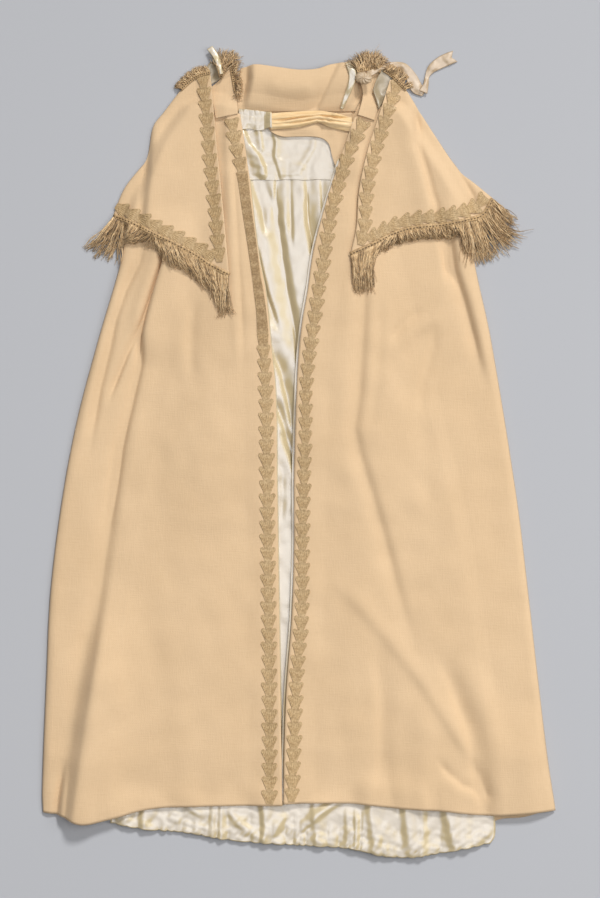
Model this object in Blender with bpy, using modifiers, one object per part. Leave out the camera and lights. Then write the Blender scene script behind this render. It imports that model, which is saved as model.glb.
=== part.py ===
# Opera cloak of cream wool with a fringed shoulder cape, laid out flat with its fronts up.
# X runs across the cloak, Y from the hem to the neck, and Z up from the surface it lies on.
# The origin is on that surface, under the middle of the cloak.
import math
from collections import namedtuple

import bmesh
import bpy
from mathutils import Vector
from mathutils.bvhtree import BVHTree

# Driving sizes, in millimetres
WOOL = 2.0
SATIN = 1.2
CHIFFON = 1.0
RIBBON = 1.0
BRAID = 1.2
SEAM = 0.3
ROLL_RADIUS = 13.0
BRAID_WIDTH = 27.0
BRAID_PITCH = 22.0
BRAID_WAIST = 0.42
BRAID_WAIST_SHARE = 0.84
BRAID_INSET = 14.5
BRAID_CORNER_SHARE = 0.07
CAPE_BRAID_WIDTH = 25.0
CAPE_HEM_BRAID_WIDTH = 23.0
HEADING_WIDTH = 6.0
HEADING_GAP = 0.8
HEADING_WALL = 1.6
HEADING_STEP = 1.0
NECK_HEADING_WIDTH = 4.0
NECK_HEADING_GAP = 1.4
LOCK_SHORTEST = 0.8
LOCK_UNEVEN = 0.1
FRONT_WIDTH = 390.0
FRONT_AIR = 5.0
FRONT_AIR_HEM_SHARE = 0.08
FRONT_AIR_EDGE_SHARE = 0.25
FRONT_LINING_WIDTH = 30.0
LINING_SHOWS_LEFT = 1.5
LINING_SHOWS_RIGHT = 3.5
CAPELET_WIDTH = 170.0
CAPELET_AIR = 2.0
BACK_RAMP_START = 120.0
BACK_RAMP_LENGTH = 170.0
COLLAR_STAND = 4.0
COLLAR_END_BOW = 2.2
YOKE_PUCKERS = 3
YOKE_PUCKER_RISE = 0.8
HEM_PUCKERS = 17
HEM_PUCKER_RISE = 4.0
HEM_PUCKER_SHARE = 0.06
RUCHE_GATHERS = 12
RUCHE_END_GATHERS = 5
RUCHE_RISE = 3.0
RUCHE_EDGE_RISE = 1.2
KNOT_WIDTH = 25.0
KNOT_LENGTH = 22.0
KNOT_DEPTH = 9.0
KNOT_SOFT_SHARE = 0.9

# How places are found on the cloth, in millimetres
MM = 0.001
CEILING = 500.0
PROBE_STEP = 5.0
PROBE_STEPS_LEAST = 3
EDGE_PROBE = 3.0
RUN_STEP = 0.01
ROLL_SHARES = (0.0, 0.12, 0.45, 1.0)
DOWN = Vector((0.0, 0.0, -1.0))

Point = namedtuple("Point", "x y")
Stop = namedtuple("Stop", "x y width")
Fold = namedtuple("Fold", "x0 y0 x1 y1 width rise")
Lock = namedtuple("Lock", "share across up")
Stretch = namedtuple("Stretch", "share width bow")
Reach = namedtuple("Reach", "across along")
Finish = namedtuple("Finish", "red green blue roughness")

STRIP_REACH = Reach(16, 16)
HEADING_REACH = Reach(8, 8)
LOCK_REACH = Reach(9, 9)
LOCK_STRETCHES = (Stretch(0.5, 0.7, 0.02), Stretch(1.0, 0.4, 0.0))

FINISHES = {
    "wool": Finish(0.79, 0.57, 0.34, 0.85),
    "satin": Finish(0.84, 0.78, 0.66, 0.35),
    "chiffon": Finish(0.76, 0.55, 0.28, 0.6),
    "braid": Finish(0.45, 0.31, 0.16, 0.6),
    "fringe": Finish(0.40, 0.26, 0.12, 0.55),
    "ribbon": Finish(0.82, 0.76, 0.64, 0.4),
}

for old in list(bpy.data.objects):
    bpy.data.objects.remove(old, do_unlink=True)
cloak = bpy.data.collections.new("opera_cloak")
bpy.context.scene.collection.children.link(cloak)
laid = {}


def make_material(name, finish):
    material = bpy.data.materials.new(name)
    material.use_nodes = True
    shader = material.node_tree.nodes["Principled BSDF"]
    shader.inputs["Base Color"].default_value = (finish.red, finish.green, finish.blue, 1.0)
    shader.inputs["Roughness"].default_value = finish.roughness
    shader.inputs["Metallic"].default_value = 0.0
    return material


materials = {name: make_material(name, finish) for name, finish in FINISHES.items()}


def add_piece(name, bm, finish, wall=None):
    """Turn a bmesh into a named piece, with a wall grown upwards if it is an open sheet."""
    mesh = bpy.data.meshes.new(name)
    bm.to_mesh(mesh)
    bm.free()
    piece = bpy.data.objects.new(name, mesh)
    piece.data.materials.append(materials[finish])
    cloak.objects.link(piece)
    if wall:
        solidify = piece.modifiers.new("wall", "SOLIDIFY")
        solidify.thickness = wall * MM
        solidify.offset = 1.0
    remember(piece)
    return piece


def remember(piece):
    """Keep the finished form of a piece, so that later pieces can lie on it."""
    bpy.context.view_layer.update()
    depsgraph = bpy.context.evaluated_depsgraph_get()
    laid[piece.name] = BVHTree.FromObject(piece, depsgraph)


def probes(reach):
    """Offsets, about PROBE_STEP apart, that cover a reach to both sides of a place."""
    steps = max(PROBE_STEPS_LEAST, round(reach / PROBE_STEP))
    return [reach * i / steps for i in range(-steps, steps + 1)]


def resting_height(x, y, reach, beside=(), clearance=SEAM):
    """Height, in millimetres, at which cloth lies on everything within reach of a place."""
    trees = [tree for name, tree in laid.items() if name not in beside]
    highest = None
    for shift_x in probes(reach.across):
        for shift_y in probes(reach.along):
            start = Vector(((x + shift_x) * MM, (y + shift_y) * MM, CEILING * MM))
            for tree in trees:
                hit = tree.ray_cast(start, DOWN)[0]
                if hit is not None and (highest is None or hit.z > highest):
                    highest = hit.z
    if highest is None:
        return clearance
    return highest / MM + SEAM


def along(table, share):
    """Row at a share of the length of a smooth curve through a table's rows."""
    rows = [Vector(row) for row in table]
    knots = [0.0]
    for before, after in zip(rows, rows[1:]):
        knots.append(knots[-1] + (after.xy - before.xy).length)
    distance = min(max(share, 0.0), 1.0) * knots[-1]
    i = 0
    while i < len(rows) - 2 and distance > knots[i + 1]:
        i += 1
    span = knots[i + 1] - knots[i]
    t = (distance - knots[i]) / span

    def slope(k):
        before, after = max(k - 1, 0), min(k + 1, len(rows) - 1)
        return (rows[after] - rows[before]) * (span / (knots[after] - knots[before]))

    return (rows[i] * (2 * t ** 3 - 3 * t ** 2 + 1) + slope(i) * (t ** 3 - 2 * t ** 2 + t)
            + rows[i + 1] * (3 * t ** 2 - 2 * t ** 3) + slope(i + 1) * (t ** 3 - t ** 2))


def curve_length(table):
    return sum((Vector(b).xy - Vector(a).xy).length for a, b in zip(table, table[1:]))


def shifted(table, across):
    return [row._replace(x=row.x + across) for row in table]


def lock_at(locks, share):
    """How far a lock reaches, at a share of its fringe, between the rows of a table."""
    for before, after in zip(locks, locks[1:]):
        if share <= after.share:
            t = (share - before.share) / (after.share - before.share)
            return Vector((before.across, before.up)).lerp(Vector((after.across, after.up)), t)


def side_of(table, share):
    """Unit vector to the left of a curve's run at a share of its length."""
    run = along(table, share + RUN_STEP).xy - along(table, share - RUN_STEP).xy
    return Vector((-run.y, run.x)).normalized()


def patch_point(edges, u, v):
    """Place in a panel between its left, right, bottom and top edges."""
    left, right, bottom, top = edges
    across = along(left, v).xy * (1 - u) + along(right, v).xy * u
    up = along(bottom, u).xy * (1 - v) + along(top, u).xy * v
    low = Vector(bottom[0]).xy * (1 - u) + Vector(bottom[-1]).xy * u
    high = Vector(top[0]).xy * (1 - u) + Vector(top[-1]).xy * u
    return across + up - low * (1 - v) - high * v


def panel_edges(left, right, bottom=(), top=()):
    """Four edges of a panel; bottom and top hold only the points between its corners."""
    return left, right, [left[0], *bottom, right[0]], [left[-1], *top, right[-1]]


def even(count):
    return [i / count for i in range(count + 1)]


def rolled_columns(width, count, side):
    """Shares across a panel, close together where one side rolls over to the back."""
    roll = [share * ROLL_RADIUS / width for share in ROLL_SHARES]
    rest = [roll[-1] + (1 - roll[-1]) * share for share in even(count)[1:]]
    columns = roll + rest
    return columns if side == "left" else [1 - share for share in reversed(columns)]


def fold_height(x, y, folds):
    """Rise of the soft ridges, and fall of the troughs, at a place on a panel."""
    total = 0.0
    for fold in folds:
        start, end = Vector((fold.x0, fold.y0)), Vector((fold.x1, fold.y1))
        run = end - start
        share = (Vector((x, y)) - start).dot(run) / run.length_squared
        nearest = start + run * min(max(share, 0.0), 1.0)
        distance = (Vector((x, y)) - nearest).length
        total += fold.rise * math.exp(-(distance / fold.width) ** 2)
    return total


def bridged(rest, passes):
    """Heights of cloth stiff enough to span the hollows between the high places under it."""
    height = [line[:] for line in rest]
    for _ in range(passes):
        for j in range(1, len(rest) - 1):
            for i in range(1, len(rest[0]) - 1):
                mean = (height[j - 1][i] + height[j + 1][i] + height[j][i - 1] + height[j][i + 1]) / 4
                height[j][i] = max(rest[j][i], mean)
    return height


def roll_share(distance):
    """Share of a panel's height at a distance from the side where it rolls under."""
    return math.sqrt(1 - (1 - min(distance / ROLL_RADIUS, 1.0)) ** 2)


def lay_cloth(name, edges, columns, rows, wall, finish, reach, lift=None, passes=8, roll=None,
              clearance=SEAM, beside=()):
    """Lay a panel on what is under it: a grid moved to its sections, then given its wall."""
    spots = [[patch_point(edges, u, v) for u in columns] for v in rows]
    rest = [[resting_height(spot.x, spot.y, reach, beside, clearance) for spot in line] for line in spots]
    height = bridged(rest, passes)
    last_column, last_row = len(columns) - 1, len(rows) - 1
    bm = bmesh.new()
    bmesh.ops.create_grid(bm, x_segments=last_column, y_segments=last_row, size=1.0)
    for vert in bm.verts:
        i = round((vert.co.x + 1) / 2 * last_column)
        j = round((vert.co.y + 1) / 2 * last_row)
        spot = spots[j][i]
        rise = height[j][i] - rest[j][i]
        if lift:
            rise += lift(spot.x, spot.y, columns[i], rows[j])
        if roll:
            edge = spots[j][0] if roll == "left" else spots[j][last_column]
            rise *= roll_share((spot - edge).length)
        vert.co = Vector((spot.x, spot.y, rest[j][i] + max(rise, 0.0))) * MM
    return add_piece(name, bm, finish, wall)


def lay_ribbon(name, stops, rows, columns, reach):
    """Lay a ribbon along stops that give its middle and its width."""
    bm = bmesh.new()
    bmesh.ops.create_grid(bm, x_segments=columns, y_segments=len(rows) - 1, size=1.0)
    for vert in bm.verts:
        u = (vert.co.x + 1) / 2
        share = rows[round((vert.co.y + 1) / 2 * (len(rows) - 1))]
        middle = along(stops, share)
        spot = middle.xy + side_of(stops, share) * middle.z * (0.5 - u)
        vert.co = Vector((spot.x, spot.y, resting_height(spot.x, spot.y, reach))) * MM
    return add_piece(name, bm, "ribbon", RIBBON)


def lay_braid(name, stops):
    """Lay a braid of leaf buds, each broad at its head and narrow at the stem that meets the next."""
    motifs = round(curve_length(stops) / BRAID_PITCH)
    rows, waists = [0.0], [1.0]
    for k in range(motifs):
        rows += [(k + BRAID_WAIST_SHARE) / motifs, (k + 1) / motifs]
        waists += [BRAID_WAIST, 1.0]
    bm = bmesh.new()
    bmesh.ops.create_grid(bm, x_segments=1, y_segments=len(rows) - 1, size=1.0)
    for vert in bm.verts:
        j = round((vert.co.y + 1) / 2 * (len(rows) - 1))
        middle = along(stops, rows[j])
        half = middle.z / 2 * waists[j]
        spot = middle.xy - side_of(stops, rows[j]) * half * vert.co.x
        vert.co = Vector((spot.x, spot.y, resting_height(spot.x, spot.y, STRIP_REACH))) * MM
    return add_piece(name, bm, "braid", BRAID)


def edge_height(owner, spot):
    """Height, in millimetres, of the underside of a panel at a spot just inside its edge."""
    hit = laid[owner].ray_cast(Vector((spot.x * MM, spot.y * MM, CEILING * MM)), DOWN)[0]
    return hit.z / MM - WOOL if hit is not None else 0.0


def eased(heights):
    """Heights raised so that none lies more than a step below the one before it."""
    raised = heights[:1]
    for height in heights[1:]:
        raised.append(max(height, raised[-1] - HEADING_STEP))
    return raised


def lay_fringe(name, root, locks, count, owner, outward=-1.0, heading=HEADING_WIDTH, gap=HEADING_GAP):
    """Lay a fringe: a narrow heading beside its owner's edge, with locks drawn out of its far side."""
    segments = 2 * count + 1
    sides = [side_of(root, share) * outward for share in even(segments)]
    lines = []
    for width in (heading, gap):
        spots = [along(root, share).xy + side * width for share, side in zip(even(segments), sides)]
        heights = [resting_height(spot.x, spot.y, HEADING_REACH, (owner,)) + SEAM for spot in spots]
        if width == gap:
            inside = [edge_height(owner, spot - side * EDGE_PROBE) for spot, side in zip(spots, sides)]
            heights = [max(pair) for pair in zip(heights, inside)]
        heights = eased(eased(heights)[::-1])[::-1]
        lines.append([Vector((spot.x, spot.y, height)) for spot, height in zip(spots, heights)])
    bm = bmesh.new()
    bmesh.ops.create_grid(bm, x_segments=segments, y_segments=1, size=1.0)
    for vert in bm.verts:
        i = round((vert.co.x + 1) / 2 * segments)
        j = round((vert.co.y + 1) / 2)
        vert.co = lines[j][i] * MM
    grown = bmesh.ops.extrude_face_region(bm, geom=bm.faces[:])
    for item in grown["geom"]:
        if isinstance(item, bmesh.types.BMVert):
            item.co.z += HEADING_WALL * MM
    bmesh.ops.recalc_face_normals(bm, faces=bm.faces[:])
    standing = [face for face in bm.faces if abs(face.normal.z) < 0.5]
    for k in range(count):
        share = (2 * k + 1.5) / segments
        place = (along(root, share).xy + side_of(root, share) * outward * heading) * MM
        face = min(standing, key=lambda f: (f.calc_center_median().xy - place).length)
        standing.remove(face)
        uneven = LOCK_SHORTEST + 2 * LOCK_UNEVEN * math.sin(k) ** 2
        draw_lock(bm, face, lock_at(locks, share) * MM * uneven, owner)
    return add_piece(name, bm, "fringe")


def draw_lock(bm, face, run, owner):
    """Draw one tapered lock out of a face of the heading, in stretches that lie on the cloth."""
    start = face.calc_center_median().xy
    for stretch in LOCK_STRETCHES:
        face = bmesh.ops.extrude_discrete_faces(bm, faces=[face])["faces"][0]
        before = face.calc_center_median()
        middle = start + run * stretch.share + Vector((-run.y, run.x)) * stretch.bow
        ground = resting_height(middle.x / MM, middle.y / MM, LOCK_REACH, (owner,)) + SEAM
        low = min(vert.co.z for vert in face.verts)
        high = max(vert.co.z for vert in face.verts)
        for vert in face.verts:
            across = (vert.co.xy - before.xy) * stretch.width
            rise = (vert.co.z - low) / (high - low) * HEADING_WALL * stretch.width * MM
            vert.co = Vector((middle.x + across.x, middle.y + across.y, ground * MM + rise))


# Edges of the panels, from the hem up or from left to right
FRONT_LEFT_SIDE = [
    Point(-424, -593), Point(-425, -560), Point(-418, -375), Point(-411, -230), Point(-392, -78),
    Point(-367, 54), Point(-332, 186), Point(-298, 301), Point(-282, 370), Point(-246, 440),
    Point(-218, 505), Point(-180, 560)]
FRONT_LEFT_EDGE = [
    Point(-28, -581), Point(-34, -243), Point(-39, -12), Point(-57, 202), Point(-82, 417),
    Point(-98, 556)]
FRONT_LEFT_HEM = [
    Point(-392, -598), Point(-357, -610), Point(-313, -603), Point(-247, -587), Point(-164, -583)]
FRONT_RIGHT_EDGE = [
    Point(-26, -578), Point(-20, -441), Point(-12, -243), Point(-6, -78), Point(9, 136),
    Point(37, 334), Point(72, 483), Point(90, 550)]
FRONT_RIGHT_SIDE = [
    Point(423, -590), Point(410, -507), Point(394, -375), Point(379, -243), Point(359, -78),
    Point(316, 186), Point(291, 301), Point(280, 370), Point(245, 435), Point(205, 495), Point(165, 555)]
FRONT_RIGHT_HEM = [Point(83, -578), Point(166, -586), Point(232, -590), Point(314, -598)]
BACK_HEM = [
    Point(-357, -600), Point(-313, -604), Point(-260, -615), Point(-190, -622), Point(-52, -640),
    Point(85, -647), Point(132, -659), Point(180, -663), Point(271, -651), Point(302, -638),
    Point(322, -608), Point(372, -601)]
LINING_LEFT = [
    Point(-312, -610), Point(-300, -400), Point(-262, -100), Point(-190, 200), Point(-140, 400),
    Point(-130, 455)]
LINING_RIGHT = [
    Point(321, -645), Point(300, -400), Point(250, -100), Point(175, 200), Point(120, 400),
    Point(105, 455)]
LINING_HEM = [
    Point(-260, -620), Point(-190, -626), Point(-121, -638), Point(-52, -644), Point(87, -653),
    Point(133, -664), Point(179, -667), Point(225, -661)]
CAPELET_LEFT_SIDE = [
    Point(-309, 390), Point(-290, 435), Point(-253, 486), Point(-242, 537), Point(-225, 560),
    Point(-196, 598)]
CAPELET_LEFT_EDGE = [
    Point(-115, 290), Point(-125, 400), Point(-135, 499), Point(-141, 565), Point(-147, 626)]
CAPELET_LEFT_HEM = [Point(-283, 380), Point(-227, 352), Point(-172, 324), Point(-149, 308)]
CAPELET_RIGHT_EDGE = [
    Point(83, 324), Point(93, 370), Point(97, 428), Point(110, 491), Point(130, 554), Point(149, 614)]
CAPELET_RIGHT_SIDE = [Point(321, 418), Point(299, 436), Point(262, 468), Point(225, 521), Point(176, 598)]
CAPELET_RIGHT_HEM = [
    Point(123, 342), Point(153, 358), Point(181, 367), Point(243, 374), Point(278, 382), Point(303, 392)]

# Largest folds, a row for each ridge or trough
FRONT_LEFT_FOLDS = [
    Fold(-224, 311, -296, 131, 11, -6), Fold(-205, 300, -268, 150, 16, 4),
    Fold(-247, 232, -295, 4, 24, 3), Fold(-300, -20, -370, -540, 26, -3),
    Fold(-366, -408, -398, -591, 18, 4), Fold(-150, 60, -165, -420, 60, 2)]
FRONT_RIGHT_FOLDS = [
    Fold(230, 346, 286, 182, 11, -6), Fold(205, 340, 262, 190, 16, 4), Fold(101, 252, 90, 37, 20, 4),
    Fold(220, 232, 182, 194, 16, 3), Fold(136, -408, 136, -557, 26, -4), Fold(273, -400, 282, -560, 26, -4),
    Fold(210, -380, 205, -585, 30, 3), Fold(50, -227, 257, -483, 20, 3)]
LINING_FOLDS = [
    Fold(-58, 448, -46, 260, 9, 5), Fold(-22, 448, -8, 250, 9, 5), Fold(-4, 448, 8, 300, 6, 4),
    Fold(28, 448, 40, 340, 9, 5), Fold(-35, 240, 2, 120, 10, 4), Fold(-30, 120, -14, -40, 9, 3),
    Fold(62, 446, 60, 380, 9, 4)]
CAPELET_LEFT_FOLDS = [
    Fold(-252, 500, -262, 405, 9, -5), Fold(-232, 500, -240, 400, 16, 4), Fold(-190, 560, -180, 380, 30, 3)]
CAPELET_RIGHT_FOLDS = [
    Fold(192, 539, 220, 410, 9, -5), Fold(176, 530, 198, 400, 16, 3), Fold(240, 480, 248, 400, 16, 3),
    Fold(268, 452, 284, 424, 8, -5)]

# How far the locks reach, across and up, along each fringe
HEM_LEFT_LOCKS = [
    Lock(0.0, -45, -50), Lock(0.06, -25, -66), Lock(0.12, -12, -60), Lock(0.18, -4, -34),
    Lock(0.33, 4, -30), Lock(0.5, 12, -46), Lock(0.75, 14, -62), Lock(0.9, 6, -66), Lock(1.0, -4, -71)]
HEM_RIGHT_LOCKS = [
    Lock(0.0, 5, -64), Lock(0.08, 8, -66), Lock(0.18, 5, -34), Lock(0.3, 2, -22),
    Lock(0.6, 2, -22), Lock(0.72, 8, -66), Lock(0.84, 14, -74), Lock(0.93, 28, -60), Lock(1.0, 38, -43)]
NECK_LEFT_LOCKS = [Lock(0.0, -9, 6), Lock(1.0, -7, 9)]
NECK_RIGHT_LOCKS = [Lock(0.0, 8, 16), Lock(1.0, 12, 8)]
COLLAR_LEFT_LOCKS = [Lock(0.0, -6, 32), Lock(0.35, -2, 25), Lock(0.6, 10, 20), Lock(1.0, 14, 8)]
COLLAR_RIGHT_LOCKS = [Lock(0.0, -6, 28), Lock(0.5, 2, 32), Lock(1.0, 6, 28)]


def lay_lower_layers():
    """Back of the cape and back of the cloak, which lie on the surface, and the collar's back."""
    side_left = [Point(-305, 393), Point(-286, 437), Point(-249, 488), Point(-238, 537), Point(-190, 596)]
    side_right = [Point(316, 420), Point(259, 466), Point(221, 520), Point(171, 596)]
    back_hem = [Point(-150, 335), Point(0, 315), Point(150, 340)]
    neck = [Point(-90, 590), Point(0, 582), Point(85, 590)]
    edges = panel_edges(side_left, side_right, back_hem, neck)
    lay_cloth("capelet_back", edges, even(10), even(6), WOOL, "wool", Reach(10, 10), clearance=0.0)

    def back_lift(x, y, u, v):
        share = min(max((y - BACK_RAMP_START) / BACK_RAMP_LENGTH, 0.0), 1.0)
        return (WOOL + SEAM) * share * share * (3 - 2 * share)

    left = [Point(-420, -588), *shifted(FRONT_LEFT_SIDE[1:], WOOL)]
    right = [Point(420, -586), *shifted(FRONT_RIGHT_SIDE[1:], -WOOL)]
    neck = [Point(-95, 574), Point(0, 562), Point(88, 572)]
    edges = panel_edges(left, right, BACK_HEM, neck)
    lay_cloth("back", edges, even(12), even(16), WOOL, "wool", Reach(10, 10), lift=back_lift, passes=0,
              clearance=0.0, beside=("capelet_back",))

    left = [Point(-97, 567), Point(-95, 634)]
    right = [Point(74, 566), Point(84, 612), Point(76, 643)]
    top = [Point(-73, 638), Point(-40, 634), Point(0, 629), Point(30, 631), Point(54, 639)]
    edges = panel_edges(left, right, [Point(0, 562)], top)
    folds = [Fold(-78, 565, -76, 640, 8, 5), Fold(50, 565, 42, 640, 9, 4)]
    lay_cloth("collar_back", edges, even(14), even(4), WOOL, "wool", Reach(12, 16),
              lift=lambda x, y, u, v: fold_height(x, y, folds) + COLLAR_STAND * v)


def lay_lining():
    """Satin back lining gathered into its yoke, the neck facing and the ruched band above it."""
    def lining_lift(x, y, u, v):
        pucker = math.cos(math.pi * HEM_PUCKERS * u) ** 2
        hem = max(0.0, 1 - v / HEM_PUCKER_SHARE)
        return fold_height(x, y, LINING_FOLDS) + HEM_PUCKER_RISE * hem * pucker

    edges = panel_edges(LINING_LEFT, LINING_RIGHT, LINING_HEM, [Point(0, 453)])
    columns = even(2 * HEM_PUCKERS)
    rows = [0.0, 0.03, 0.06, 0.2, 0.4, 0.55, 0.62, 0.69, 0.76, 0.83, 0.9, 0.96, 1.0]
    lay_cloth("lining_back", edges, columns, rows, SATIN, "satin", Reach(10, 70),
              lift=lining_lift, passes=0)

    edges = panel_edges([Point(-126, 457), Point(-112, 518)], [Point(103, 457), Point(90, 516)])
    lay_cloth("lining_yoke", edges, even(10), even(3), SATIN, "satin", Reach(20, 20),
              lift=lambda x, y, u, v: YOKE_PUCKER_RISE * math.sin(math.pi * (YOKE_PUCKERS * u + v)) ** 2)

    left = [Point(-108, 520), Point(-100, 560)]
    right = [Point(88, 518), Point(86, 560)]
    edges = panel_edges(left, right, top=[Point(0, 556)])
    lay_cloth("neck_facing", edges, even(10), even(2), WOOL, "wool", Reach(10, 20))

    def ruche_lift(gathers):
        def lift(x, y, u, v):
            middle = RUCHE_EDGE_RISE + (RUCHE_RISE - RUCHE_EDGE_RISE) * math.sin(math.pi * v)
            return middle * math.sin(math.pi * gathers * u) ** 2
        return lift

    edges = panel_edges([Point(-44, 531), Point(-44, 558)], [Point(78, 532), Point(78, 555)],
                        [Point(0, 535), Point(30, 543), Point(50, 535)], [Point(-6, 561), Point(35, 562)])
    lay_cloth("neck_ruche", edges, even(2 * RUCHE_GATHERS), even(3), CHIFFON, "chiffon", Reach(18, 22),
              lift=ruche_lift(RUCHE_GATHERS), passes=0)
    edges = panel_edges([Point(-100, 524), Point(-100, 566)], [Point(-45, 528), Point(-45, 560)])
    lay_cloth("neck_ruche_end", edges, even(2 * RUCHE_END_GATHERS), even(3), SATIN, "satin", Reach(18, 22),
              lift=ruche_lift(RUCHE_END_GATHERS), passes=0)


def lay_fronts():
    """Two wool fronts, rolled over at the sides, and the linings that show along their edges."""
    inner = shifted(FRONT_LEFT_EDGE[:-1], -FRONT_LINING_WIDTH)
    outer = shifted(FRONT_LEFT_EDGE[:-1], LINING_SHOWS_LEFT)
    edges = panel_edges(inner, outer)
    lay_cloth("lining_front_left", edges, even(2), even(16), SATIN, "satin", Reach(15, 45))
    inner = shifted(FRONT_RIGHT_EDGE[:-1], -LINING_SHOWS_RIGHT)
    outer = shifted(FRONT_RIGHT_EDGE[:-1], FRONT_LINING_WIDTH)
    edges = panel_edges(inner, outer)
    lay_cloth("lining_front_right", edges, even(2), even(16), SATIN, "satin", Reach(15, 45))

    def front_lift(folds, roll):
        def lift(x, y, u, v):
            side = u if roll == "right" else 1 - u
            air = FRONT_AIR * min(1.0, v / FRONT_AIR_HEM_SHARE) * min(1.0, side / FRONT_AIR_EDGE_SHARE)
            return air + fold_height(x, y, folds)
        return lift

    side = shifted(FRONT_LEFT_SIDE, WOOL)
    edges = panel_edges(side, FRONT_LEFT_EDGE, FRONT_LEFT_HEM, [Point(-140, 572)])
    columns = rolled_columns(FRONT_WIDTH, 10, "left")
    lay_cloth("front_left", edges, columns, even(24), WOOL, "wool", Reach(26, 36),
              lift=front_lift(FRONT_LEFT_FOLDS, "left"), roll="left")
    side = shifted(FRONT_RIGHT_SIDE, -WOOL)
    edges = panel_edges(FRONT_RIGHT_EDGE, side, FRONT_RIGHT_HEM, [Point(128, 570)])
    columns = rolled_columns(FRONT_WIDTH, 10, "right")
    lay_cloth("front_right", edges, columns, even(24), WOOL, "wool", Reach(26, 36),
              lift=front_lift(FRONT_RIGHT_FOLDS, "right"), roll="right")

    lay_braid("braid_front_left", [
        Stop(-104, 532, 15), Stop(-96, 450, 16), Stop(-81, 334, 16), Stop(-69, 219, 18), Stop(-59, 103, 23),
        Stop(-54, 4, 26), Stop(-52, -161, BRAID_WIDTH), Stop(-50, -326, BRAID_WIDTH),
        Stop(-49, -578, BRAID_WIDTH)])
    lay_braid("braid_front_right", [
        Stop(110, 545, BRAID_WIDTH), Stop(87, 466, BRAID_WIDTH), Stop(56, 334, BRAID_WIDTH),
        Stop(39, 252, BRAID_WIDTH), Stop(24, 136, BRAID_WIDTH), Stop(14, 21, BRAID_WIDTH),
        Stop(8, -111, BRAID_WIDTH), Stop(3, -243, BRAID_WIDTH), Stop(-5, -441, BRAID_WIDTH),
        Stop(-11, -574, BRAID_WIDTH)])


def lay_collar():
    """Front ends of the collar, the satin inside the cape's upper corners and the collar's fringe."""
    def collar_bow(x, y, u, v):
        return COLLAR_END_BOW * math.sin(math.pi * u)

    left = [Point(-138, 562), Point(-146, 600)]
    right = [Point(-102, 553), Point(-105, 592), Point(-115, 637)]
    edges = panel_edges(left, right, top=[Point(-131, 616)])
    lay_cloth("collar_front_left", edges, even(5), even(6), WOOL, "wool", Reach(10, 12), lift=collar_bow)
    left = [Point(96, 554), Point(104, 592), Point(93, 626)]
    right = [Point(123, 546), Point(131, 576), Point(125, 600), Point(134, 628)]
    edges = panel_edges(left, right, top=[Point(112, 631)])
    lay_cloth("collar_front_right", edges, even(5), even(7), WOOL, "wool", Reach(10, 12), lift=collar_bow)
    left = [Point(-151, 606), Point(-154, 640)]
    right = [Point(-136, 604), Point(-130, 621), Point(-139, 640)]
    edges = panel_edges(left, right)
    lay_cloth("capelet_lining_left", edges, even(6), even(6), SATIN, "satin", Reach(2, 2), passes=0)
    edges = panel_edges([Point(123, 597), Point(134, 625)], [Point(136, 575), Point(156, 624)])
    lay_cloth("capelet_lining_right", edges, even(6), even(6), SATIN, "satin", Reach(5, 8), passes=0)
    root = [Point(-131, 616), Point(-121, 632), Point(-114, 638), Point(-110, 622), Point(-105, 594)]
    lay_fringe("fringe_collar_left", root, COLLAR_LEFT_LOCKS, 16, "collar_front_left", outward=1.0,
               heading=NECK_HEADING_WIDTH)
    root = [Point(93, 626), Point(112, 631), Point(134, 628)]
    lay_fringe("fringe_collar_right", root, COLLAR_RIGHT_LOCKS, 12, "collar_front_right", outward=1.0,
               heading=NECK_HEADING_WIDTH)


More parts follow.
